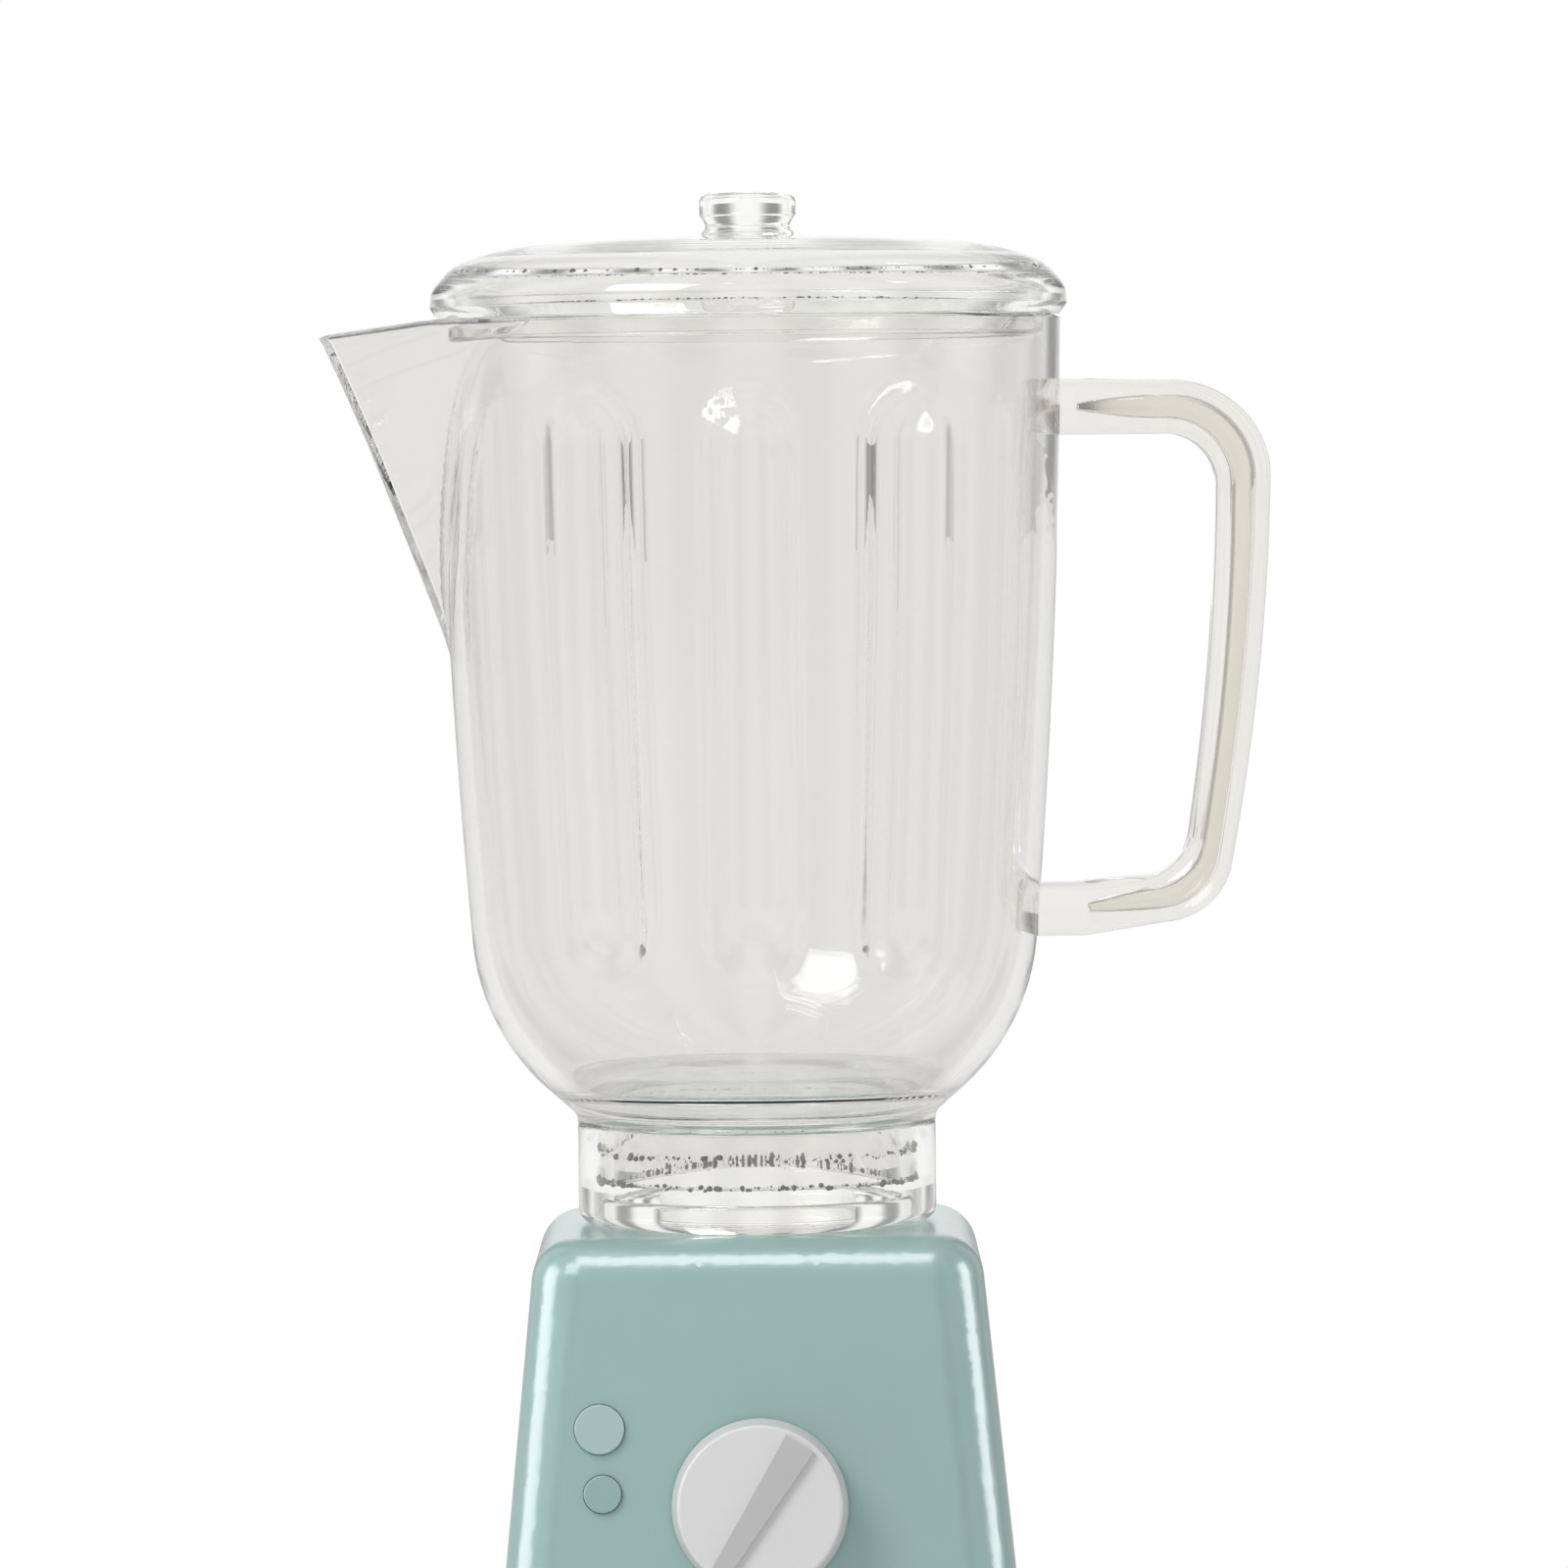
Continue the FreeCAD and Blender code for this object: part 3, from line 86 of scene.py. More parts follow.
def turn(label, text, degrees):
    """An angle setting, given in degrees and held in radians."""
    return FloatProperty(name=label, description=text, default=math.radians(degrees), subtype="ANGLE")


def colour(label, text, hex_colour):
    """A colour setting, given as sRGB hex and held as linear."""
    return FloatVectorProperty(name=label, description=text, size=4, subtype="COLOR", min=0, max=1,
                               default=linear(hex_colour))


class BlenderJugSizes(bpy.types.PropertyGroup):
    """Sizes of the clear jug, its flutes, spout and collar."""

    rim_height: length("Rim height", "Height of the jug's rim", 227.0)
    rim_radius: length("Rim radius", "Outer radius at the rim", 47.7)
    shoulder_height: length("Shoulder height", "Height of the corner below the barrel", 118.2)
    shoulder_radius: length("Shoulder radius", "Radius of the corner below the barrel", 42.0)
    shoulder_round: length("Shoulder round", "Radius of the round shoulder", 34.0)
    barrel_round: length("Barrel bow", "Radius of the long bow of the side", 1300.0)
    neck_height: length("Neck height", "Height of the neck's lower edge", 104.1)
    neck_land: length("Neck land", "Height of the neck's upright edge", 1.2)
    wall: length("Wall", "Thickness of the jug's wall", 2.3)
    floor_height: length("Floor height", "Height of the jug's floor", 110.4)
    floor_thick: length("Floor thickness", "Thickness of the floor over the hollow below it", 0.6)
    stub_radius: length("Stub radius", "Outer radius of the stub in the collar", 24.2)
    stub_wall: length("Stub wall", "Thickness of the stub's wall", 2.2)
    stub_bottom: length("Stub bottom", "Height of the stub's lower edge", 95.2)
    spout_reach: length("Spout reach", "Distance of the spout's tip from the axis", 65.8)
    spout_top: length("Spout top", "Height of the rim at the spout's tip", 224.9)
    spout_tip: length("Spout tip radius", "Radius of the spout's tip", 3.3)
    spout_lean: turn("Spout lean", "Lean of the spout's tip line", 21.3)
    flute_radius: length("Flute radius", "Radius of the pressed flutes", 12.6)
    flute_depth: length("Flute depth", "Depth of the pressed flutes", 2.3)
    flute_low: length("Flute low end", "Height of the flutes' lower round", 134.0)
    flute_high: length("Flute high end", "Height of the flutes' upper round", 207.6)
    flute_pitch: turn("Flute pitch", "Angle between neighbouring flutes", 31.5)
    collar_radius: length("Collar radius", "Outer radius of the collar and neck", 27.4)
    collar_wall: length("Collar wall", "Thickness of the collar's wall", 2.2)
    columns: IntProperty(name="Columns", description="Steps round the jug", default=360, min=90)


class BlenderHandleSizes(bpy.types.PropertyGroup):
    """Sizes of the clear handle."""

    depth: length("Depth", "Thickness of the handle from front to back", 12.0)
    edge_round: length("Edge round", "Radius of the handle's long edges", 3.2)
    root: length("Root", "Distance from the axis at which the lines of both arms start", 40.0)
    arm_top: length("Arm top", "Height of the top of the upper arm", 217.4)
    arm_under: length("Arm under", "Height of the underside of the upper arm", 208.6)
    grip_out: length("Grip reach", "Distance of the grip's outer corner from the axis", 79.5)
    grip_in: length("Grip inside", "Distance of the grip's inner corner from the axis", 71.2)
    foot_out: length("Foot reach", "Distance of the grip's lower outer corner from the axis", 71.4)
    foot_in: length("Foot inside", "Distance of the grip's lower inner corner from the axis", 65.6)
    low_arm_top: length("Low arm top", "Height of the top of the lower arm at the grip", 141.7)
    low_arm_under: length("Low arm under", "Height of the underside of the lower arm at the grip", 135.3)
    low_root_top: length("Low root top", "Height of the top of the lower arm at its root", 139.4)
    low_root_under: length("Low root under", "Height of the underside of the lower arm at its root", 130.4)
    bow_out: length("Outer bow", "Radius of the long bow of the grip's outer side", 350.0)
    bow_in: length("Inner bow", "Radius of the long bow of the grip's inner side", 370.0)
    bite: length("Bite", "How far the bonded ends reach into the jug's wall", 0.3)
    core_inset: length("Core inset", "Depth of the hollow core below the handle's skin", 2.6)


class BlenderLidSizes(bpy.types.PropertyGroup):
    """Sizes of the clear lid."""

    crown: length("Crown", "Height of the top of the dome", 239.55)
    ceiling: length("Ceiling", "Height of the underside of the dome", 237.25)
    radius: length("Radius", "Largest radius of the lid", 48.7)
    knob_radius: length("Knob radius", "Radius of the knob", 7.4)
    knob_top: length("Knob top", "Height of the top of the knob", 246.0)
    plug_bottom: length("Plug bottom", "Height of the lower edge of the plug ring", 223.8)
    plug_wall: length("Plug wall", "Thickness of the plug ring", 2.2)
    plug_gap: length("Plug gap", "Gap between the plug ring and the jug's wall", 0.35)
    land: length("Land", "Height of the bond between dome and plug ring", 232.8)
    segments: IntProperty(name="Segments", description="Steps round the lid", default=192, min=48)


class BlenderBubbleSettings(bpy.types.PropertyGroup):
    """Small bubbles trapped in the bonded joints."""

    count: IntProperty(name="Count", description="Bubbles in the lid's joint", default=1400, min=1)
    small: length("Smallest", "Radius of the smallest bubble", 0.07)
    large: length("Largest", "Radius of the largest bubble", 0.45)
    seed: IntProperty(name="Seed", description="Seed of the bubbles' places", default=7)


class BlenderColours(bpy.types.PropertyGroup):
    """Colours of the finishes."""

    mint: colour("Mint", "Paint of the base", "#96B7B1")
    # The large button is the same mint plastic, given a lighter colour as painted light for the light it
    # catches
    lit_large_button: colour("Large button", "Plastic of the large button", "#ABC5C0")
    small_button: colour("Small button", "Plastic of the small button", "#94B3AD")
    knob: colour("Knob", "Plastic of the dial", "#DFDFDF")
    # The pointer's darker grey is painted shade on the dial's own pale plastic
    pointer: colour("Pointer", "Plastic of the dial's pointer", "#BFBFBF")
    # The clear tints are painted shade: they darken what is seen through each piece, standing in for grey
    # surroundings, and are set lighter where more walls are seen at once
    clear: colour("Clear", "Clear acrylic of the jug's walls", "#F1F0EE")
    lid: colour("Lid", "Clear acrylic of the lid, whose many walls are seen at once", "#FAFAF8")
    collar: colour("Collar", "Clear acrylic of the collar and seat ring, seen one in the other", "#FCFCFA")
    thick: colour("Handle", "Clear acrylic of the handle", "#ECEBE5")
    specks: colour("Specks", "Trapped air and dust in the bonded joints", "#77776A")


# Shared shapes

def settings(name):
    """One of the scene's groups of settings."""
    return getattr(bpy.context.scene, name)


def new_piece(name, mesh, material, body, slot_name, nodes=()):
    """Put a finished mesh in the scene: its material, its body and the nodes it stands for."""
    mesh.name = name
    piece = bpy.data.objects.new(name, mesh)
    bpy.context.collection.objects.link(piece)
    mesh.materials.clear()
    mesh.materials.append(material)
    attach(piece, body)
    if nodes:
        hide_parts(*nodes)
    if slot_name.startswith("clear"):
        # Clear plastic shuts out no lamp light from what is behind it or from the floor
        piece.visible_shadow = False
        piece.visible_diffuse = False
    return piece


def rounded(points, arc_steps=7):
    """An outline of (across, up, round) corners, with each round drawn as an arc."""
    drawn = []
    for index, (across, up, radius) in enumerate(points):
        corner = Vector((across, up))
        if not radius:
            drawn.append(corner)
            continue
        before = (Vector(points[index - 1][:2]) - corner).normalized()
        after = (Vector(points[(index + 1) % len(points)][:2]) - corner).normalized()
        half = before.angle(after) / 2
        centre = corner + (before + after).normalized() * (radius / math.sin(half))
        start = corner + before * (radius / math.tan(half))
        end = corner + after * (radius / math.tan(half))
        for step in range(arc_steps + 1):
            share = step / arc_steps
            spoke = (start - centre).normalized().slerp((end - centre).normalized(), share)
            drawn.append(centre + spoke * radius)
    return drawn


def skin(name, rows, poles=False, closed=False, sharp=40):
    """A mesh from rows of points, each row a ring, closed by a pole at each end or into a loop."""
    count = len(rows[0])
    points = np.concatenate(rows)
    faces = []
    spans = len(rows) if closed else len(rows) - 1
    for row in range(spans):
        low = row * count
        high = (row + 1) % len(rows) * count
        for column in range(count):
            beside = (column + 1) % count
            faces.append((low + column, low + beside, high + beside, high + column))
    if poles:
        for place in (0, len(rows) - 1):
            pole = len(points)
            points = np.vstack([points, rows[place].mean(axis=0)])
            low = place * count
            faces += [(pole, low + (c + 1) % count, low + c) for c in range(count)]
    mesh = bpy.data.meshes.new(name)
    mesh.from_pydata(points.tolist(), [], faces)
    return finish_mesh(mesh, sharp)


def finish_mesh(mesh, sharp):
    """Turn the faces outwards and shade them smooth, but for edges sharper than an angle."""
    work = bmesh.new()
    work.from_mesh(mesh)
    bmesh.ops.remove_doubles(work, verts=work.verts, dist=MERGE_GAP)
    bmesh.ops.dissolve_degenerate(work, dist=2 * MERGE_GAP, edges=work.edges)
    bmesh.ops.recalc_face_normals(work, faces=work.faces)
    work.to_mesh(mesh)
    work.free()
    mesh.shade_smooth()
    mesh.set_sharp_from_angle(angle=math.radians(sharp))
    return mesh


def lathe(name, profile, segments, closed=True):
    """A mesh turned about the jug's axis from an outline of radii and heights, a loop or open at the axis."""
    bearings = np.linspace(0, FULL_TURN, segments, endpoint=False)
    rows = []
    for radius, height in profile:
        ring = np.stack([np.cos(bearings) * radius, np.sin(bearings) * radius,
                         np.full(segments, height)], axis=1)
        rows.append(ring)
    return skin(name, rows, poles=not closed, closed=closed)


def smooth_copy(node, sharp=30):
    """A merged copy of a CAD node's mesh, with its flat faces kept flat and its rounds smooth."""
    mesh = frame["nodes"][node].data.copy()
    work = bmesh.new()
    work.from_mesh(mesh)
    bmesh.ops.remove_doubles(work, verts=work.verts, dist=MERGE_GAP)
    bmesh.ops.dissolve_limit(work, angle_limit=FLAT_BEND, verts=work.verts, edges=work.edges)
    work.to_mesh(mesh)
    work.free()
    finish_mesh(mesh, sharp)
    holder = bpy.data.objects.new(node + "_copy", mesh)
    bpy.context.collection.objects.link(holder)
    weigh = holder.modifiers.new("flat faces", "WEIGHTED_NORMAL")
    weigh.keep_sharp = True
    final = bpy.data.meshes.new_from_object(holder.evaluated_get(bpy.context.evaluated_depsgraph_get()))
    bpy.data.objects.remove(holder)
    return final


# Geometry node trees

def new_tree(name, sockets):
    """An empty geometry tree with named inputs and one geometry output."""
    tree = bpy.data.node_groups.new(name, "GeometryNodeTree")
    for label, kind in sockets:
        tree.interface.new_socket(label, in_out="INPUT", socket_type=kind)
    tree.interface.new_socket("Geometry", in_out="OUTPUT", socket_type="NodeSocketGeometry")
    return tree


def add(tree, kind, values=None, links=None, **choices):
    """A node in a tree, with its settings, its plain values and its links, by socket identifier or number."""
    node = tree.nodes.new(kind)
    for name, value in choices.items():
        setattr(node, name, value)
    sockets = {socket.identifier: socket for socket in node.inputs}
    sockets.update(enumerate(node.inputs))
    for socket, value in (values or {}).items():
        sockets[socket].default_value = value
    for socket, source in (links or {}).items():
        tree.links.new(source, sockets[socket])
    return node


def grown(name, tree, values):
    """The plain mesh that a geometry tree makes from its named inputs."""
    holder = bpy.data.objects.new(name, bpy.data.meshes.new(name))
    bpy.context.collection.objects.link(holder)
    modifier = holder.modifiers.new(tree.name, "NODES")
    modifier.node_group = tree
    for item in tree.interface.items_tree:
        if item.item_type == "SOCKET" and item.in_out == "INPUT":
            modifier[item.identifier] = values[item.name]
    mesh = bpy.data.meshes.new_from_object(holder.evaluated_get(bpy.context.evaluated_depsgraph_get()))
    holder.modifiers.remove(modifier)
    bpy.data.objects.remove(holder)
    return mesh


def bubble_tree():
    """Bubbles spread at random round a ring, in a band of heights: many small ones and few large."""
    rarity = 5.0
    tree = new_tree("bubble ring", [
        ("Count", "NodeSocketInt"),
        ("Ring radius", "NodeSocketFloat"),
        ("Height", "NodeSocketFloat"),
        ("Band", "NodeSocketFloat"),
        ("Smallest", "NodeSocketFloat"),
        ("Largest", "NodeSocketFloat"),
        ("Seed", "NodeSocketInt"),
        ("Material", "NodeSocketMaterial"),
    ])
    given = add(tree, "NodeGroupInput").outputs
    bearing = add(tree, "FunctionNodeRandomValue", {"Max_001": FULL_TURN}, {"Seed": given["Seed"]})
    drop = add(tree, "ShaderNodeMath", {1: -1.0}, {0: given["Band"]}, operation="MULTIPLY")
    next_seed = add(tree, "ShaderNodeMath", {1: 1.0}, {0: given["Seed"]})
    height = add(tree, "FunctionNodeRandomValue",
                 links={"Min_001": drop.outputs[0], "Max_001": given["Band"], "Seed": next_seed.outputs[0]})
    lifted = add(tree, "ShaderNodeMath", links={0: height.outputs[1], 1: given["Height"]})
    arm = add(tree, "ShaderNodeCombineXYZ", links={"X": given["Ring radius"], "Z": lifted.outputs[0]})
    place = add(tree, "ShaderNodeVectorRotate",
                links={"Vector": arm.outputs[0], "Angle": bearing.outputs[1]},
                rotation_type="Z_AXIS")
    points = add(tree, "GeometryNodePoints", links={"Count": given["Count"], "Position": place.outputs[0]})
    ball = add(tree, "GeometryNodeMeshIcoSphere", {"Radius": 1.0, "Subdivisions": 2})
    last_seed = add(tree, "ShaderNodeMath", {1: 2.0}, {0: given["Seed"]})
    chance = add(tree, "FunctionNodeRandomValue", links={"Seed": last_seed.outputs[0]})
    few_large = add(tree, "ShaderNodeMath", {1: rarity}, {0: chance.outputs[1]}, operation="POWER")
    girth = add(tree, "ShaderNodeMapRange",
                links={"Value": few_large.outputs[0], "To Min": given["Smallest"],
                       "To Max": given["Largest"]})
    spread = add(tree, "GeometryNodeInstanceOnPoints",
                 links={"Points": points.outputs[0], "Instance": ball.outputs["Mesh"],
                        "Scale": girth.outputs[0]})
    plain = add(tree, "GeometryNodeRealizeInstances", links={"Geometry": spread.outputs[0]})
    soft = add(tree, "GeometryNodeSetShadeSmooth", links={"Geometry": plain.outputs[0]})
    coated = add(tree, "GeometryNodeSetMaterial",
                 links={"Geometry": soft.outputs[0], "Material": given["Material"]})
    add(tree, "NodeGroupOutput", links={0: coated.outputs[0]})
    return tree


# Materials

def new_material(name):
    """An empty procedural material: its tree, shader and object coordinates."""
    material = bpy.data.materials.new(name)
    material.use_nodes = True
    tree = material.node_tree
    tree.nodes.clear()
    place = add(tree, "ShaderNodeTexCoord").outputs["Object"]
    shader = add(tree, "ShaderNodeBsdfPrincipled")
    add(tree, "ShaderNodeOutputMaterial", links={"Surface": shader.outputs[0]})
    return material, tree, shader, place


def grain(tree, shader, place, size_mm, depth_mm):
    """A fine bump of a real grain size on a shader."""
    noise = add(tree, "ShaderNodeTexNoise", {"Scale": 1 / (size_mm * MM), "Detail": 3.0}, {"Vector": place})
    bump = add(tree, "ShaderNodeBump", {"Strength": 1.0, "Distance": depth_mm * MM},
               {"Height": noise.outputs["Fac"]})
    tree.links.new(bump.outputs[0], shader.inputs["Normal"])


def mottle(tree, shader, place, base, size_mm, change):
    """A faint cloudy change of brightness over a colour."""
    cloud = add(tree, "ShaderNodeTexNoise", {"Scale": 1 / (size_mm * MM), "Detail": 2.0}, {"Vector": place})
    level = add(tree, "ShaderNodeMapRange", {"To Min": 1 - change, "To Max": 1 + change},
                {"Value": cloud.outputs["Fac"]})
    shade = add(tree, "ShaderNodeVectorMath", {0: base[:3]}, {"Scale": level.outputs[0]}, operation="SCALE")
    tree.links.new(shade.outputs[0], shader.inputs["Base Color"])
    return cloud


def worn_roughness(tree, shader, cloud, low, high):
    """Roughness that follows a cloud between two values."""
    level = add(tree, "ShaderNodeMapRange", {"To Min": low, "To Max": high}, {"Value": cloud.outputs["Fac"]})
    tree.links.new(level.outputs[0], shader.inputs["Roughness"])


def satin_mint_paint():
    """Satin paint sprayed on moulded ABS: fine orange-peel grain under a thin glossy lacquer."""
    material, tree, shader, place = new_material("satin mint paint on ABS")
    shader.inputs["IOR"].default_value = 1.5
    shader.inputs["Coat Weight"].default_value = 0.8
    shader.inputs["Coat Roughness"].default_value = 0.16
    cloud = mottle(tree, shader, place, settings("toy_colours").mint, size_mm=9, change=0.02)
    worn_roughness(tree, shader, cloud, low=0.33, high=0.43)
    grain(tree, shader, place, size_mm=0.45, depth_mm=0.010)
    return material


def satin_mint_button(name, base):
    """Satin moulded ABS: a touch greyer than the paint, with the same fine grain; the large button's lighter
    colour is painted light.
    """
    material, tree, shader, place = new_material(name)
    shader.inputs["IOR"].default_value = 1.5
    cloud = mottle(tree, shader, place, base, size_mm=5, change=0.015)
    worn_roughness(tree, shader, cloud, low=0.34, high=0.42)
    grain(tree, shader, place, size_mm=0.4, depth_mm=0.006)
    return material


def pale_grey_plastic(name, base):
    """Matt moulded ABS in pale grey: even colour, a dull sheen and faint spark texture."""
    material, tree, shader, place = new_material(name)
    shader.inputs["IOR"].default_value = 1.5
    cloud = mottle(tree, shader, place, base, size_mm=4, change=0.012)
    worn_roughness(tree, shader, cloud, low=0.42, high=0.5)
    grain(tree, shader, place, size_mm=0.35, depth_mm=0.006)
    return material


def clear_acrylic(name, base):
    """Moulded clear acrylic: sharp refraction, a slight ripple from the mould, a faint olive tint that is
    painted shade for the grey surroundings seen through it.
    """
    material, tree, shader, place = new_material(name)
    # Painted shade: the tint darkens what is seen through the acrylic
    shader.inputs["Base Color"].default_value = base
    shader.inputs["Transmission Weight"].default_value = 1.0
    shader.inputs["IOR"].default_value = 1.49
    shader.inputs["Roughness"].default_value = 0.0
    grain(tree, shader, place, size_mm=14, depth_mm=0.03)
    return material


def trapped_air():
    """Air bubbles and dust in a solvent bond: glossy olive-grey beads that dim what is behind."""
    material, tree, shader, place = new_material("air bubbles in solvent bond")
    shader.inputs["Transmission Weight"].default_value = 0.3
    shader.inputs["IOR"].default_value = 1.3
    shader.inputs["Roughness"].default_value = 0.12
    mottle(tree, shader, place, settings("toy_colours").specks, size_mm=2, change=0.5)
    return material


def matt_plastic(name, hex_colour, size_mm=0.5):
    """Moulded plastic that is seldom seen: matt, with a coarse spark texture."""
    material, tree, shader, place = new_material(name)
    cloud = mottle(tree, shader, place, linear(hex_colour), size_mm=6, change=0.03)
    worn_roughness(tree, shader, cloud, low=0.5, high=0.62)
    grain(tree, shader, place, size_mm, depth_mm=0.012)
    return material


def plated_metal(name, hex_colour, low, high):
    """Plated steel: metallic, with a cloudy polish."""
    material, tree, shader, place = new_material(name)
    shader.inputs["Metallic"].default_value = 1.0
    cloud = mottle(tree, shader, place, linear(hex_colour), size_mm=1.5, change=0.06)
    worn_roughness(tree, shader, cloud, low, high)
    return material


def speaker_card():
    """Pressed paper of a speaker cone: matt black with coarse fibres."""
    material, tree, shader, place = new_material("pressed paper cone")
    mottle(tree, shader, place, linear("#242424"), size_mm=0.8, change=0.25)
    shader.inputs["Roughness"].default_value = 0.9
    grain(tree, shader, place, size_mm=0.4, depth_mm=0.05)
    return material


# Clear jug

def barrel_radius(jug, height):
    """The jug's outer radius at a height of the barrel, on the long bow of its side."""
    share = (height - jug.shoulder_height) / (jug.rim_height - jug.shoulder_height)
    chord = jug.shoulder_radius + share * (jug.rim_radius - jug.shoulder_radius)
    bow = (height - jug.shoulder_height) * (jug.rim_height - height) / (2 * jug.barrel_round)
    return chord + bow


def column_bearings(jug):
    """Bearings round the jug, closer together at the spout's narrow tip."""
    even = np.linspace(-HALF_TURN, HALF_TURN, jug.columns, endpoint=False)
    tip_width = math.radians(9)
    pull = 0.72
    closeness = np.exp(-(even / tip_width) ** 2)
    return SPOUT_BEARING + even * (1 - pull * closeness)


def blend_high(first, second, width):
    """The larger of two fields, rounded where they cross."""
    return (first + second + np.sqrt((first - second) ** 2 + width ** 2)) / 2


def blend_low(first, second, width):
    """The smaller of two fields, rounded where they cross."""
    return (first + second - np.sqrt((first - second) ** 2 + width ** 2)) / 2


def angle_from(bearings, about):
    """The angle from one bearing to each of the others, up to half a turn either way."""
    return (bearings - about + HALF_TURN) % FULL_TURN - HALF_TURN


def spout_reach(jug, bearings, height, inset):
    """Distance from the axis to the spout's wedge, on each bearing."""
    set_back = 0.4 * MM
    wedge_half = math.radians(45)
    grazing = 0.1
    run = (jug.spout_top - height) * math.tan(jug.spout_lean)
    centre = jug.spout_reach - set_back - jug.spout_tip - run
    tip = jug.spout_tip - inset
    away = np.abs(angle_from(bearings, SPOUT_BEARING))
    slant = np.sin(np.clip(wedge_half + away, grazing, HALF_TURN - grazing))
    flat = (max(centre, 0) * math.sin(wedge_half) + tip) / slant
    inside = tip ** 2 - (centre * np.sin(away)) ** 2
    nose = centre * np.cos(away) + np.sqrt(np.maximum(inside, 0))
    edge = math.atan2(tip * math.cos(wedge_half), centre + tip * math.sin(wedge_half))
    reach = np.where(away < edge, nose, flat)
    return np.where(away < wedge_half, reach, 0)


def flute_floor(jug, bearings, height, inset):
    """Distance from the axis to the pressed flutes, on each bearing, or far where there is none."""
    far = jug.rim_radius * 2
    nearest = np.full(len(bearings), far)
    girth = jug.flute_radius + inset
    beyond = max(jug.flute_low - height, height - jug.flute_high, 0)
    if beyond >= girth:
        return nearest
    half = math.sqrt(girth ** 2 - beyond ** 2)
    level = min(max(height, jug.flute_low), jug.flute_high)
    centre = barrel_radius(jug, level) + jug.flute_radius - jug.flute_depth
    for side in (-HALF_TURN / 2, HALF_TURN / 2):
        for step in (-1, 0, 1):
            away = angle_from(bearings, side + step * jug.flute_pitch)
            inside = half ** 2 - (centre * np.sin(away)) ** 2
            floor = centre * np.cos(away) - np.sqrt(np.maximum(inside, 0))
            hit = (inside > 0) & (np.cos(away) > 0)
            nearest = np.where(hit, np.minimum(nearest, floor), nearest)
    return nearest


def jug_side(jug, bearings, radius, height, inset):
    """One ring of the jug's side, with its spout, flutes and dipping rim."""
    crease = 1.0 * MM
    flute_edge = 0.2 * MM
    dip_depth = 20 * MM
    reach = blend_high(np.full(len(bearings), radius), spout_reach(jug, bearings, height, inset), crease)
    reach = np.maximum(reach - crease / 2, radius)
    floor = flute_floor(jug, bearings, height, inset)
    pressed = np.where(floor < reach + 2 * flute_edge, blend_low(reach, floor, flute_edge), reach)
    across = np.cos(bearings) * pressed
    slope = (jug.rim_height - jug.spout_top) / (jug.spout_reach - jug.rim_radius)
    dip = np.maximum(-across - jug.rim_radius, 0) * slope
    share = max(0.0, 1 - (jug.rim_height - height) / dip_depth)
    return np.stack([across, np.sin(bearings) * pressed, height - dip * share], axis=1)


def jug_profile(jug, inset, foot):
    """Outline of one face of the jug's wall, from the rim down to the corners of its foot."""
    barrel_rings = 66
    above_shoulder = 16 * MM
    heights = np.linspace(jug.rim_height, jug.shoulder_height + above_shoulder, barrel_rings)
    points = [(barrel_radius(jug, z) - inset, z, 0) for z in heights]
    return rounded(points + foot, arc_steps=12)


def outer_foot(jug, neck_top, flare):
    """Corners of the jug's outer face: shoulder, neck, stub and the hollow under the floor."""
    pole = 0.5 * MM
    edge = 0.5 * MM
    neck_round = 2.4 * MM
    stub_root = 0.3 * MM
    ledge = 0.8 * MM
    neck_wall = 2.0 * MM
    skirt_wall = 3.0 * MM
    stub_inner = jug.stub_radius - jug.stub_wall
    ceiling = jug.floor_height - jug.floor_thick
    hollow_edge = jug.collar_radius + (ceiling - neck_top) * flare - skirt_wall
    return [
        (jug.shoulder_radius, jug.shoulder_height, jug.shoulder_round),
        (jug.collar_radius, neck_top, neck_round),
        (jug.collar_radius, jug.neck_height, 0),
        (jug.stub_radius, jug.neck_height, stub_root),
        (jug.stub_radius, jug.stub_bottom, edge),
        (stub_inner, jug.stub_bottom, edge),
        (stub_inner, jug.neck_height - ledge, edge),
        (jug.collar_radius - neck_wall, jug.neck_height + ledge, edge),
        (hollow_edge, ceiling, edge),
        (stub_inner / 2, ceiling, 0),
        (pole, ceiling, 0),
    ]


def inner_foot(jug, neck_top, flare):
    """Corners of the jug's inner face: shoulder and floor."""
    pole = 0.5 * MM
    floor_round = 2.5 * MM
    shoulder_rise = jug.wall * 0.6
    flare_inset = jug.wall * 0.7
    floor_edge = jug.collar_radius - flare_inset + (jug.floor_height - neck_top - jug.wall) * flare
    return [
        (jug.shoulder_radius - jug.wall, jug.shoulder_height + shoulder_rise, jug.shoulder_round - jug.wall),
        (floor_edge, jug.floor_height, floor_round),
        (floor_edge / 2, jug.floor_height, 0),
        (pole, jug.floor_height, 0),
    ]


def jug_wall_mesh(jug):
    """The closed wall of the jug: inside, rim, outside, neck, stub and floor."""
    lip = 0.5 * MM
    lip_shares = (0.16, 0.5, 0.84)
    bearings = column_bearings(jug)
    neck_top = jug.neck_height + jug.neck_land
    flare = (jug.shoulder_radius - jug.collar_radius) / (jug.shoulder_height - neck_top)
    outer = jug_profile(jug, 0, outer_foot(jug, neck_top, flare))
    inner = jug_profile(jug, jug.wall, inner_foot(jug, neck_top, flare))
    rows = [jug_side(jug, bearings, r, z, jug.wall) for r, z in reversed(inner)]
    inside = rows[-1]
    outside = jug_side(jug, bearings, *outer[0], 0)
    inside[:, 2] -= lip
    outside[:, 2] -= lip
    for share in lip_shares:
        ridge = inside + (outside - inside) * share
        ridge[:, 2] += lip * math.sin(HALF_TURN * share)
        rows.append(ridge)
    rows.append(outside)
    rows += [jug_side(jug, bearings, r, z, 0) for r, z in outer[1:]]
    return skin("jug_wall", rows, poles=True, sharp=50)


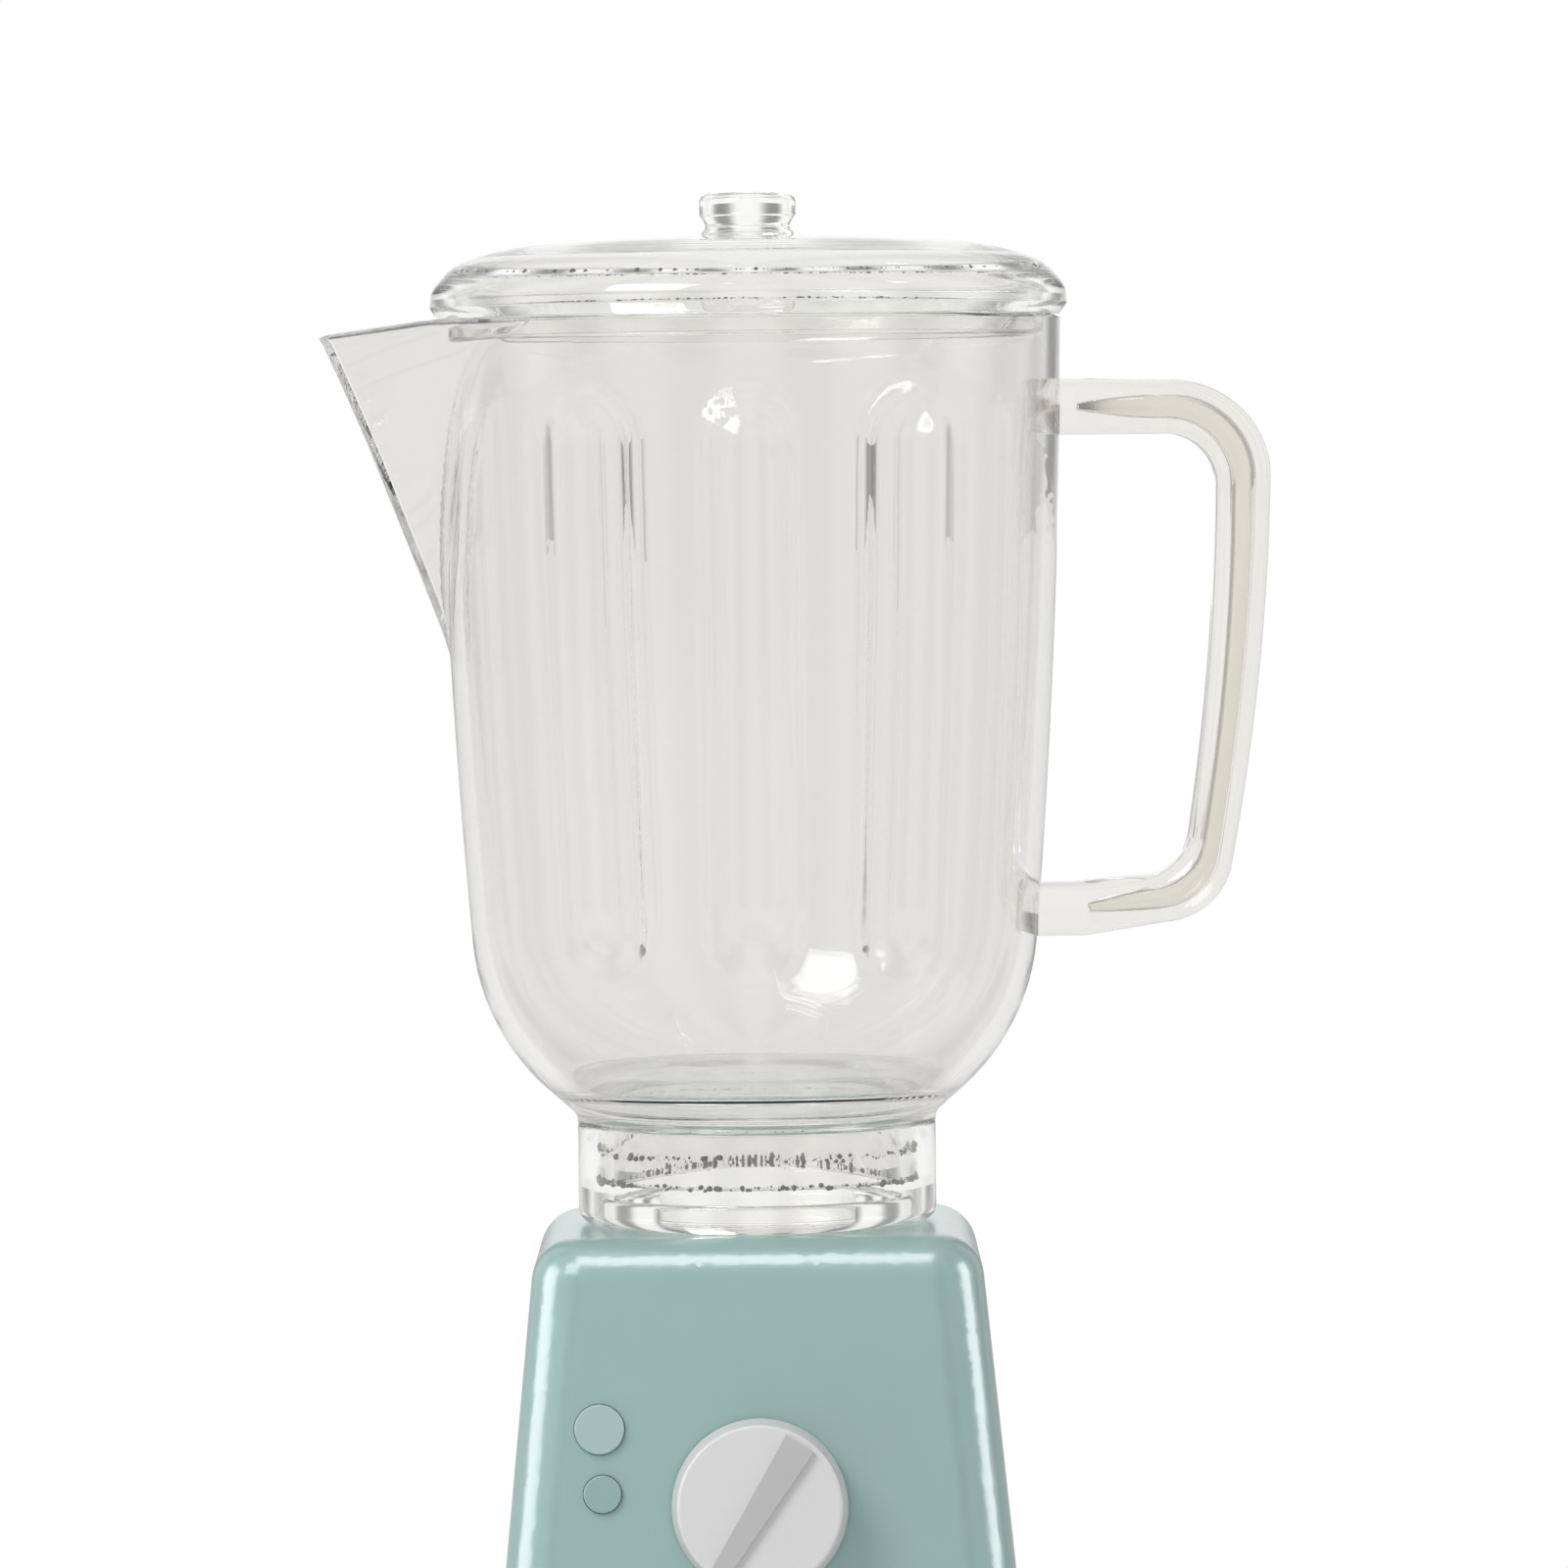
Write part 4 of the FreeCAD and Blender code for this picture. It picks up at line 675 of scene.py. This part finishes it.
def collar_outline(jug, foot, top):
    """Outline of the collar's wall, which ends a hair short of what is above and below it."""
    gap = 0.05 * MM
    foot_round = 2.3 * MM
    edge_round = 0.4 * MM
    bore_top_round = 0.3 * MM
    bore = jug.collar_radius - jug.collar_wall
    return rounded([
        (bore, foot + gap, edge_round),
        (jug.collar_radius, foot + gap, foot_round),
        (jug.collar_radius, top - gap, edge_round),
        (bore, top - gap, bore_top_round),
    ])


def seat_outline(outer, foot, top):
    """Outline of the low clear ring that the collar stands on."""
    wall = 1.4 * MM
    edge_round = 0.8 * MM
    return rounded([
        (outer - wall, foot, 0),
        (outer, foot, 0),
        (outer, top, edge_round),
        (outer - wall, top, edge_round),
    ])


class BuildJug(bpy.types.Operator):
    """Build the clear fluted jug wall with its spout, floor and stub"""

    bl_idname = "toy_blender.build_jug"
    bl_label = "Clear jug"

    def execute(self, context):
        jug = settings("toy_jug")
        clear = clear_acrylic("clear moulded acrylic", settings("toy_colours").clear)
        new_piece("jug_wall", jug_wall_mesh(jug), clear, "jug", "clear_plastic", ["jug_body"])
        return {"FINISHED"}


class BuildCollar(bpy.types.Operator):
    """Build the clear collar under the jug and the clear ring that it stands on"""

    bl_idname = "toy_blender.build_collar"
    bl_label = "Collar and seat ring"

    def execute(self, context):
        jug = settings("toy_jug")
        clear = clear_acrylic("clear moulded acrylic, collar", settings("toy_colours").collar)
        low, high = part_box("jug_collar")
        collar = lathe("collar_ring", collar_outline(jug, low.z, high.z), RING_SEGMENTS)
        new_piece("collar_ring", collar, clear, "jug", "clear_plastic", ["jug_collar"])
        low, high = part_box("seat_ring")
        seat = lathe("seat_ring_clear", seat_outline(high.x, low.z, high.z), RING_SEGMENTS)
        new_piece("seat_ring_clear", seat, clear, "base", "clear_plastic", ["seat_ring"])
        return {"FINISHED"}


# Handle

def handle_lines(sizes):
    """The outer and inner lines of the handle, as matching lists of points."""
    shoulder_drop = 0.8 * MM
    upper_round_out, lower_round_out = 13.5 * MM, 9.5 * MM
    upper_round_in, lower_round_in = 7.0 * MM, 6.5 * MM
    longest_step = 1.5 * MM
    outer = rounded([
        (sizes.root, sizes.arm_top, 0),
        (sizes.grip_out, sizes.arm_top - shoulder_drop, upper_round_out),
        (sizes.foot_out, sizes.low_arm_under, lower_round_out),
        (sizes.root, sizes.low_root_under, 0),
    ], arc_steps=14)
    inner = rounded([
        (sizes.root, sizes.arm_under, 0),
        (sizes.grip_in, sizes.arm_under, upper_round_in),
        (sizes.foot_in, sizes.low_arm_top, lower_round_in),
        (sizes.root, sizes.low_root_top, 0),
    ], arc_steps=14)
    lines = []
    for arcs, bow_radius in ((outer, sizes.bow_out), (inner, sizes.bow_in)):
        top = arcs[1].y
        foot = arcs[-2].y
        spaced = []
        for index, (start, end) in enumerate(zip(arcs, arcs[1:])):
            steps = max(1, round((outer[index + 1] - outer[index]).length / longest_step))
            spaced += [start.lerp(end, step / steps) for step in range(steps)]
        spaced.append(arcs[-1])
        for point in spaced:
            inside = max(top - point.y, 0) * max(point.y - foot, 0)
            point.x += inside / (2 * bow_radius)
        lines.append(spaced)
    return lines


def section(half_wide, half_deep, corner, steps=6):
    """A rounded rectangle as a list of (across, along) points."""
    points = []
    for quarter, (side, end) in enumerate(((1, 1), (-1, 1), (-1, -1), (1, -1))):
        for step in range(steps + 1):
            angle = (quarter + step / steps) * HALF_TURN / 2
            points.append((side * (half_wide - corner) + corner * math.cos(angle),
                           end * (half_deep - corner) + corner * math.sin(angle)))
    return points


def handle_rows(sizes, inset):
    """Rings of points along the handle, from its upper end to its lower one."""
    outer, inner = handle_lines(sizes)
    rows = []
    for out, back in zip(outer, inner):
        middle = (out + back) / 2
        half = (out - back).length / 2 - inset
        way = (out - back).normalized()
        ring = [(middle.x + a * way.x, d, middle.y + a * way.y)
                for a, d in section(half, sizes.depth / 2 - inset, sizes.edge_round - inset)]
        rows.append(np.array(ring))
    return rows


def handle_mesh(sizes, jug):
    """The handle's closed skin round its hollow core, its ends shaped to the jug's wall."""
    clear_of_wall = jug.rim_radius + 0.5 * MM
    rows = [r for r in handle_rows(sizes, 0) if r[:, 0].min() > clear_of_wall]
    ends = [rows[0].copy(), rows[-1].copy()]
    for row in ends:
        for point in row:
            wall = barrel_radius(jug, point[2])
            point[0] = math.sqrt(wall ** 2 - point[1] ** 2) - sizes.bite
    mesh = skin("handle_grip", [ends[0], *rows, ends[1]], poles=True, sharp=50)
    core_from = jug.rim_radius + 2.0 * MM
    taper = 12 * MM
    least_girth = 0.05
    core_rows = [r for r in handle_rows(sizes, sizes.core_inset) if r[:, 0].min() > core_from]
    for row in core_rows:
        girth = min(1, least_girth + (row[:, 0].mean() - core_from) / taper)
        middle = row.mean(axis=0)
        row += (row - middle) * (math.sqrt(girth) - 1)
    core = skin("handle_core", core_rows, poles=True, sharp=50)
    core.flip_normals()
    work = bmesh.new()
    work.from_mesh(mesh)
    work.from_mesh(core)
    work.to_mesh(mesh)
    work.free()
    bpy.data.meshes.remove(core)
    return mesh


class BuildHandle(bpy.types.Operator):
    """Build the clear handle that is bonded to the jug"""

    bl_idname = "toy_blender.build_handle"
    bl_label = "Handle"

    def execute(self, context):
        thick = clear_acrylic("thick clear acrylic", settings("toy_colours").thick)
        mesh = handle_mesh(settings("toy_handle"), settings("toy_jug"))
        new_piece("handle_grip", mesh, thick, "jug", "clear_thick", ["jug_handle"])
        return {"FINISHED"}


# Lid

def dome_outline(lid, rim_height):
    """Outline of the lid's dome, from its top over its side to its underside."""
    pole = 0.4 * MM
    flat_radius = 9.0 * MM
    brow_radius, brow_height, brow_round = 36.5 * MM, 238.1 * MM, 40 * MM
    slope_radius, slope_height, slope_round = 45.2 * MM, 235.3 * MM, 8 * MM
    side_top, side_top_round = 231.2 * MM, 4 * MM
    side_foot, edge_round = 228.8 * MM, 0.6 * MM
    skirt_out, skirt_in, skirt_gap = 47.5 * MM, 46.1 * MM, 0.1 * MM
    crisp_round, fine_round = 0.3 * MM, 0.2 * MM
    bond_in = 42.9 * MM
    inner_side, inner_side_drop, inner_side_round = 41.9 * MM, 1.6 * MM, 1.2 * MM
    inner_brow, inner_brow_drop, inner_brow_round = 36.9 * MM, 0.5 * MM, 6 * MM
    return rounded([
        (pole, lid.crown, 0),
        (flat_radius, lid.crown, 0),
        (brow_radius, brow_height, brow_round),
        (slope_radius, slope_height, slope_round),
        (lid.radius, side_top, side_top_round),
        (lid.radius, side_foot, edge_round),
        (skirt_out, rim_height + skirt_gap, crisp_round),
        (skirt_in, rim_height + skirt_gap, fine_round),
        (skirt_in, lid.land, edge_round),
        (bond_in, lid.land, crisp_round),
        (inner_side, lid.ceiling - inner_side_drop, inner_side_round),
        (inner_brow, lid.ceiling - inner_brow_drop, inner_brow_round),
        (pole, lid.ceiling, 0),
    ])


def plug_radius(lid, jug):
    """Outer radius of the plug ring, which fits inside the jug's wall with a small gap."""
    return jug.rim_radius - jug.wall - lid.plug_gap


def plug_outline(lid, outer):
    """Outline of the plug ring, from its lower edge to a hair below the dome."""
    bond_gap = 0.05 * MM
    foot_round = 0.8 * MM
    top_round = 0.3 * MM
    inner = outer - lid.plug_wall
    return rounded([
        (inner, lid.plug_bottom, foot_round),
        (outer, lid.plug_bottom, foot_round),
        (outer, lid.land - bond_gap, top_round),
        (inner, lid.land - bond_gap, top_round),
    ])


def knob_outline(lid):
    """Outline of the knob, from its foot on the dome over its waist to its flat top."""
    pole = 0.3 * MM
    foot_gap = 0.02 * MM
    foot_radius, foot_round = 7.3 * MM, 0.2 * MM
    waist_radius, waist_height, waist_round = 6.3 * MM, 241 * MM, 0.8 * MM
    head_foot, head_foot_round = 242.8 * MM, 1.0 * MM
    head_round = 1.5 * MM
    return rounded([
        (pole, lid.crown + foot_gap, 0),
        (foot_radius, lid.crown + foot_gap, foot_round),
        (waist_radius, waist_height, waist_round),
        (lid.knob_radius, head_foot, head_foot_round),
        (lid.knob_radius, lid.knob_top, head_round),
        (pole, lid.knob_top, 0),
    ])


class BuildLid(bpy.types.Operator):
    """Build the clear lid: its dome, plug ring and knob"""

    bl_idname = "toy_blender.build_lid"
    bl_label = "Lid"

    def execute(self, context):
        lid, jug = settings("toy_lid"), settings("toy_jug")
        clear = clear_acrylic("clear moulded acrylic, lid", settings("toy_colours").lid)
        dome = lathe("lid_cap", dome_outline(lid, jug.rim_height), lid.segments, closed=False)
        new_piece("lid_cap", dome, clear, "lid", "clear_plastic", ["lid_dome"])
        plug = lathe("lid_plug", plug_outline(lid, plug_radius(lid, jug)), lid.segments)
        new_piece("lid_plug", plug, clear, "lid", "clear_plastic", ["lid_plug_ring"])
        knob = lathe("lid_top_knob", knob_outline(lid), lid.segments // 2, closed=False)
        new_piece("lid_top_knob", knob, clear, "lid", "clear_thick", ["lid_knob"])
        return {"FINISHED"}


class BuildBubbles(bpy.types.Operator):
    """Scatter the small bubbles that are trapped in the lid's joint and in the collar"""

    bl_idname = "toy_blender.build_bubbles"
    bl_label = "Bubbles in the joints"

    def execute(self, context):
        made, lid, jug = settings("toy_bubbles"), settings("toy_lid"), settings("toy_jug")
        tree = bubble_tree()
        air = trapped_air()
        shared = {"Smallest": made.small, "Largest": made.large, "Material": air}
        bond_radius = plug_radius(lid, jug) - lid.plug_wall / 2
        bond_height = lid.land - 0.3 * MM
        stub_side = jug.stub_radius + 0.15 * MM
        thread_height = jug.stub_bottom + 4.6 * MM
        edge_height = jug.stub_bottom + 0.4 * MM
        narrow, wide = 0.35 * MM, 0.5 * MM
        many, some, few = made.count, made.count // 2, made.count // 3
        seed_step = 10
        # Each ring's name, body, radius, height, half its band of heights, count and seed
        rings = [
            ("lid_joint_bubbles", "lid", bond_radius, bond_height, narrow, many, made.seed),
            ("thread_bubbles", "jug", stub_side, thread_height, wide, few, made.seed + seed_step),
            ("stub_edge_bubbles", "jug", stub_side, edge_height, narrow, some, made.seed + 2 * seed_step),
        ]
        for name, body, radius, height, band, count, seed in rings:
            mesh = grown(name, tree, {**shared, "Count": count, "Ring radius": radius, "Height": height,
                                      "Band": band, "Seed": seed})
            new_piece(name, mesh, air, body, "clear_plastic")
        return {"FINISHED"}


# Base, dial and buttons

def joint_axis(name):
    """A joint's unit axis and, where it has one, its place."""
    joint = next(joint for joint in frame["joints"] if joint["name"] == name)
    return Vector(joint["axis"]).normalized(), Vector(joint.get("pos_m", (0, 0, 0)))


def widen_cap(mesh, outward, extra):
    """Close most of the gap round a button: move the side of its raised cap outwards."""
    cap_depth = 1.5 * MM
    side_from, side_to = 0.8, 1.01
    heights = [vertex.co.dot(outward) for vertex in mesh.vertices]
    top = max(heights)
    cap = [vertex for vertex, height in zip(mesh.vertices, heights) if top - height < cap_depth]
    centre = sum((vertex.co for vertex in cap), Vector()) / len(cap)
    spokes = []
    for vertex in mesh.vertices:
        arm = vertex.co - centre
        spokes.append(arm - outward * arm.dot(outward))
    cap_radius = max(spokes[vertex.index].length for vertex in cap)
    for vertex, spoke in zip(mesh.vertices, spokes):
        if cap_radius * side_from < spoke.length < cap_radius * side_to:
            vertex.co += spoke.normalized() * extra


class BuildBase(bpy.types.Operator):
    """Finish the painted base shell and the mint push buttons"""

    bl_idname = "toy_blender.build_base"
    bl_label = "Base and buttons"

    def execute(self, context):
        colours = settings("toy_colours")
        cap_growth = 0.15 * MM
        paint = satin_mint_paint()
        new_piece("base_housing", smooth_copy("base_shell"), paint, "base", "mint_plastic", ["base_shell"])
        for kind, base in (("large", colours.lit_large_button), ("small", colours.small_button)):
            moulded = satin_mint_button(f"satin moulded ABS, {kind} button", base)
            node = f"button_{kind}"
            cap = smooth_copy(node)
            inward, _ = joint_axis(f"button_{kind}_press")
            widen_cap(cap, -inward, cap_growth)
            new_piece(f"push_button_{kind}", cap, moulded, node, "mint_button", [node])
        return {"FINISHED"}


class BuildDial(bpy.types.Operator):
    """Finish the pale grey dial and its raised pointer, whose darker grey is painted shade"""

    bl_idname = "toy_blender.build_dial"
    bl_label = "Dial"

    def execute(self, context):
        colours = settings("toy_colours")
        grey = pale_grey_plastic("matt pale grey ABS", colours.knob)
        # The pointer's darker grey paints the shade on its raised rib
        dark = pale_grey_plastic("matt grey ABS with painted shade", colours.pointer)
        piece = new_piece("dial_cap", smooth_copy("dial_knob"), grey, "dial", "dial_plastic", ["dial_knob"])
        piece.data.materials.append(dark)
        out, centre = joint_axis("dial_turn")
        ridge_foot = 9.4 * MM
        for face in piece.data.polygons:
            if (face.center - centre).dot(out) > ridge_foot:
                face.material_index = 1
        return {"FINISHED"}


# Pieces inside and under the base

def node_finishes():
    """The material of each inner node that keeps its CAD shape."""
    mint = matt_plastic("matt mint moulded ABS", "#8FB1AA", size_mm=0.8)
    zinc = plated_metal("zinc-plated steel", "#B8BABD", low=0.25, high=0.4)
    nickel = plated_metal("nickel-plated spring steel", "#C4C0B6", low=0.18, high=0.3)
    jacket = matt_plastic("printed cell jacket", "#3A3A40")
    steel = plated_metal("dark plated steel", "#47474A", low=0.35, high=0.5)
    black = matt_plastic("black moulded nylon", "#26262A")
    board = matt_plastic("green glass-fibre laminate", "#24603A", size_mm=1.2)
    epoxy = matt_plastic("black epoxy", "#141414")
    rubber = matt_plastic("pale silicone rubber", "#C2C4C2")
    return {
        "base_plate": mint, "battery_door": mint,
        "base_plate_screws": zinc, "battery_door_screw": zinc, "board_screws": zinc,
        "battery_1": jacket, "battery_2": jacket,
        "contact_link": nickel, "contact_plus": nickel, "contact_minus": nickel,
        "battery_spring_minus": nickel, "battery_spring_link": nickel,
        "speaker_frame": steel, "speaker_magnet": steel, "speaker_cone": speaker_card(),
        "rotary_switch": black, "detent_leaf": nickel, "detent_wheel": black, "dial_spindle": black,
        "circuit_board": board, "sound_chip": epoxy,
        "button_large_dome": rubber, "button_small_dome": rubber,
    }


class FinishInside(bpy.types.Operator):
    """Finish the plate, battery bay, speaker, board and switch under the shell"""

    bl_idname = "toy_blender.finish_inside"
    bl_label = "Inside pieces"

    def execute(self, context):
        for name, material in node_finishes().items():
            node = frame["nodes"][name]
            for index in range(len(node.data.materials)):
                node.data.materials[index] = material
            if not node.data.materials:
                node.data.materials.append(material)
        return {"FINISHED"}


# Stage

class BuildStage(bpy.types.Operator):
    """Set the pale floor, the white surroundings, the soft lamps and the camera"""

    bl_idname = "toy_blender.build_stage"
    bl_label = "Stage"

    def execute(self, context):
        scene = context.scene
        scene.view_settings.view_transform = "Standard"
        # Light turns back many times inside a clear wall, and a path that is cut short shows black
        bounces = 40
        scene.cycles.max_bounces = bounces
        scene.cycles.transmission_bounces = bounces
        scene.cycles.glossy_bounces = bounces
        self.make_floor()
        self.make_world(scene)
        self.make_lamps(context)
        self.make_camera(scene)
        return {"FINISHED"}

    def make_floor(self):
        """A wide pale floor that keeps the shadow near the object and fades to white far away."""
        floor_radius = 12.0
        fade_from, fade_to = 0.14, 0.26
        mesh = bpy.data.meshes.new("floor")
        work = bmesh.new()
        bmesh.ops.create_circle(work, cap_ends=True, segments=96, radius=floor_radius)
        work.to_mesh(mesh)
        work.free()
        floor = bpy.data.objects.new("floor", mesh)
        bpy.context.collection.objects.link(floor)
        material = bpy.data.materials.new("pale studio floor")
        material.use_nodes = True
        tree = material.node_tree
        tree.nodes.clear()
        place = add(tree, "ShaderNodeTexCoord").outputs["Object"]
        away = add(tree, "ShaderNodeVectorMath", links={0: place}, operation="LENGTH")
        far = add(tree, "ShaderNodeMapRange", {"From Min": fade_from, "From Max": fade_to},
                  {"Value": away.outputs["Value"]}, interpolation_type="SMOOTHSTEP")
        matt = add(tree, "ShaderNodeBsdfDiffuse", {"Color": linear("#F4F4F4")})
        white = add(tree, "ShaderNodeEmission", {"Color": WHITE, "Strength": 1.0})
        path = add(tree, "ShaderNodeLightPath").outputs
        seen = add(tree, "ShaderNodeMath", links={0: path["Is Camera Ray"], 1: path["Is Transmission Ray"]},
                   operation="MAXIMUM")
        seen_far = add(tree, "ShaderNodeMath", links={0: seen.outputs[0], 1: far.outputs[0]},
                       operation="MULTIPLY")
        both = add(tree, "ShaderNodeMixShader",
                   links={0: seen_far.outputs[0], 1: matt.outputs[0], 2: white.outputs[0]})
        add(tree, "ShaderNodeOutputMaterial", links={"Surface": both.outputs[0]})
        mesh.materials.append(material)

    def make_world(self, scene):
        """White behind the object, with soft upright grey screens round it that clear plastic refracts."""
        screen_count = 8.0
        screen_edge = 0.6
        screen_level = 0.3
        soft_level = 0.55
        world = bpy.data.worlds.new("white studio")
        scene.world = world
        world.use_nodes = True
        tree = world.node_tree
        tree.nodes.clear()
        path = add(tree, "ShaderNodeLightPath").outputs
        way = add(tree, "ShaderNodeTexCoord").outputs["Generated"]
        parts = add(tree, "ShaderNodeSeparateXYZ", links={0: way}).outputs
        bearing = add(tree, "ShaderNodeMath", links={0: parts["Y"], 1: parts["X"]}, operation="ARCTAN2")
        folds = add(tree, "ShaderNodeMath", {1: screen_count}, {0: bearing.outputs[0]}, operation="MULTIPLY")
        wave = add(tree, "ShaderNodeMath", links={0: folds.outputs[0]}, operation="COSINE")
        level = add(tree, "ShaderNodeMapRange",
                    {"From Min": -1.0, "From Max": screen_edge, "To Min": screen_level, "To Max": 1.0},
                    {"Value": wave.outputs[0]}, interpolation_type="SMOOTHSTEP")
        room = add(tree, "ShaderNodeBackground", {"Color": WHITE}, {"Strength": level.outputs[0]})
        soft = add(tree, "ShaderNodeBackground", {"Color": WHITE, "Strength": soft_level})
        white = add(tree, "ShaderNodeBackground", {"Color": WHITE, "Strength": 1.0})
        bent = add(tree, "ShaderNodeMath", links={0: path["Is Glossy Ray"], 1: path["Is Transmission Ray"]},
                   operation="MAXIMUM")
        lit = add(tree, "ShaderNodeMixShader",
                  links={0: bent.outputs[0], 1: soft.outputs[0], 2: room.outputs[0]})
        seen = add(tree, "ShaderNodeMixShader",
                   links={0: path["Is Camera Ray"], 1: lit.outputs[0], 2: white.outputs[0]})
        add(tree, "ShaderNodeOutputWorld", links={"Surface": seen.outputs[0]})

    def make_lamps(self, context):
        """A large soft lamp high on the left, and soft boxes that only put a sheen on the opaque pieces."""
        # Each lamp's name, its place, width and height in metres, and its watts
        lamps = [
            ("key lamp", Vector((-0.75, -0.9, 1.05)), 0.7, 0.7, 9.5),
            ("left sheen lamp", Vector((-0.95, -0.12, 0.25)), 0.55, 0.8, 9.0),
            ("right sheen lamp", Vector((0.95, -0.12, 0.25)), 0.4, 0.8, 8.0),
            ("upper sheen lamp", Vector((-0.1, -0.5, 1.1)), 0.6, 0.5, 7.0),
        ]
        middle = Vector((0, 0, 0.12))
        glossy = bpy.data.collections.new("pieces with a sheen")
        for name in ("base_housing", "dial_cap", "push_button_large", "push_button_small"):
            glossy.objects.link(context.scene.objects[name])
        for name, place, wide, tall, power in lamps:
            light = bpy.data.lights.new(name, "AREA")
            light.shape = "RECTANGLE"
            light.size = wide
            light.size_y = tall
            light.energy = power
            lamp = bpy.data.objects.new(name, light)
            lamp.location = place
            lamp.rotation_euler = (middle - place).to_track_quat("-Z", "Y").to_euler()
            context.collection.objects.link(lamp)
            if "sheen" in name:
                lamp.visible_diffuse = False
                lamp.visible_transmission = False
                lamp.light_linking.receiver_collection = glossy

    def make_camera(self, scene):
        """A long lens at the photograph's distance, height and slight roll."""
        distance, frame_width = 1.35, 0.240
        aside, eye_height, aim_height = 0.0047, 0.208, 0.1556
        tilt = math.radians(-0.6)
        data = bpy.data.cameras.new("photo camera")
        data.sensor_width = 36.0
        data.lens = data.sensor_width * distance / frame_width
        camera = bpy.data.objects.new("photo camera", data)
        eye = Vector((aside, -distance, eye_height))
        aim = Vector((aside, 0, aim_height))
        look = (aim - eye).to_track_quat("-Z", "Y").to_matrix().to_4x4()
        camera.matrix_world = Matrix.Translation(eye) @ look @ Matrix.Rotation(tilt, 4, "Z")
        bpy.context.collection.objects.link(camera)
        scene.camera = camera


OPERATORS = (BuildJug, BuildCollar, BuildHandle, BuildLid, BuildBubbles, BuildBase, BuildDial,
             FinishInside, BuildStage)
GROUPS = {
    "toy_jug": BlenderJugSizes,
    "toy_handle": BlenderHandleSizes,
    "toy_lid": BlenderLidSizes,
    "toy_bubbles": BlenderBubbleSettings,
    "toy_colours": BlenderColours,
}


class ToyBlenderPanel(bpy.types.Panel):
    """Buttons and settings of the toy blender"""

    bl_idname = "VIEW3D_PT_toy_blender"
    bl_label = "Toy blender"
    bl_space_type = "VIEW_3D"
    bl_region_type = "UI"
    bl_category = "Toy blender"

    def draw(self, context):
        for operator in OPERATORS:
            self.layout.operator(operator.bl_idname)
        for group, kind in GROUPS.items():
            box = self.layout.box()
            for setting in kind.__annotations__:
                box.prop(getattr(context.scene, group), setting)


def register():
    for kind in (*GROUPS.values(), *OPERATORS, ToyBlenderPanel):
        bpy.utils.register_class(kind)
    for name, kind in GROUPS.items():
        setattr(bpy.types.Scene, name, PointerProperty(type=kind))


def unregister():
    for name in GROUPS:
        delattr(bpy.types.Scene, name)
    for kind in (ToyBlenderPanel, *reversed(OPERATORS), *reversed(GROUPS.values())):
        bpy.utils.unregister_class(kind)


def main():
    """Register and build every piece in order."""
    register()
    bpy.ops.toy_blender.build_jug()
    bpy.ops.toy_blender.build_collar()
    bpy.ops.toy_blender.build_handle()
    bpy.ops.toy_blender.build_lid()
    bpy.ops.toy_blender.build_bubbles()
    bpy.ops.toy_blender.build_base()
    bpy.ops.toy_blender.build_dial()
    bpy.ops.toy_blender.finish_inside()
    bpy.ops.toy_blender.build_stage()


if __name__ == "__main__":
    main()
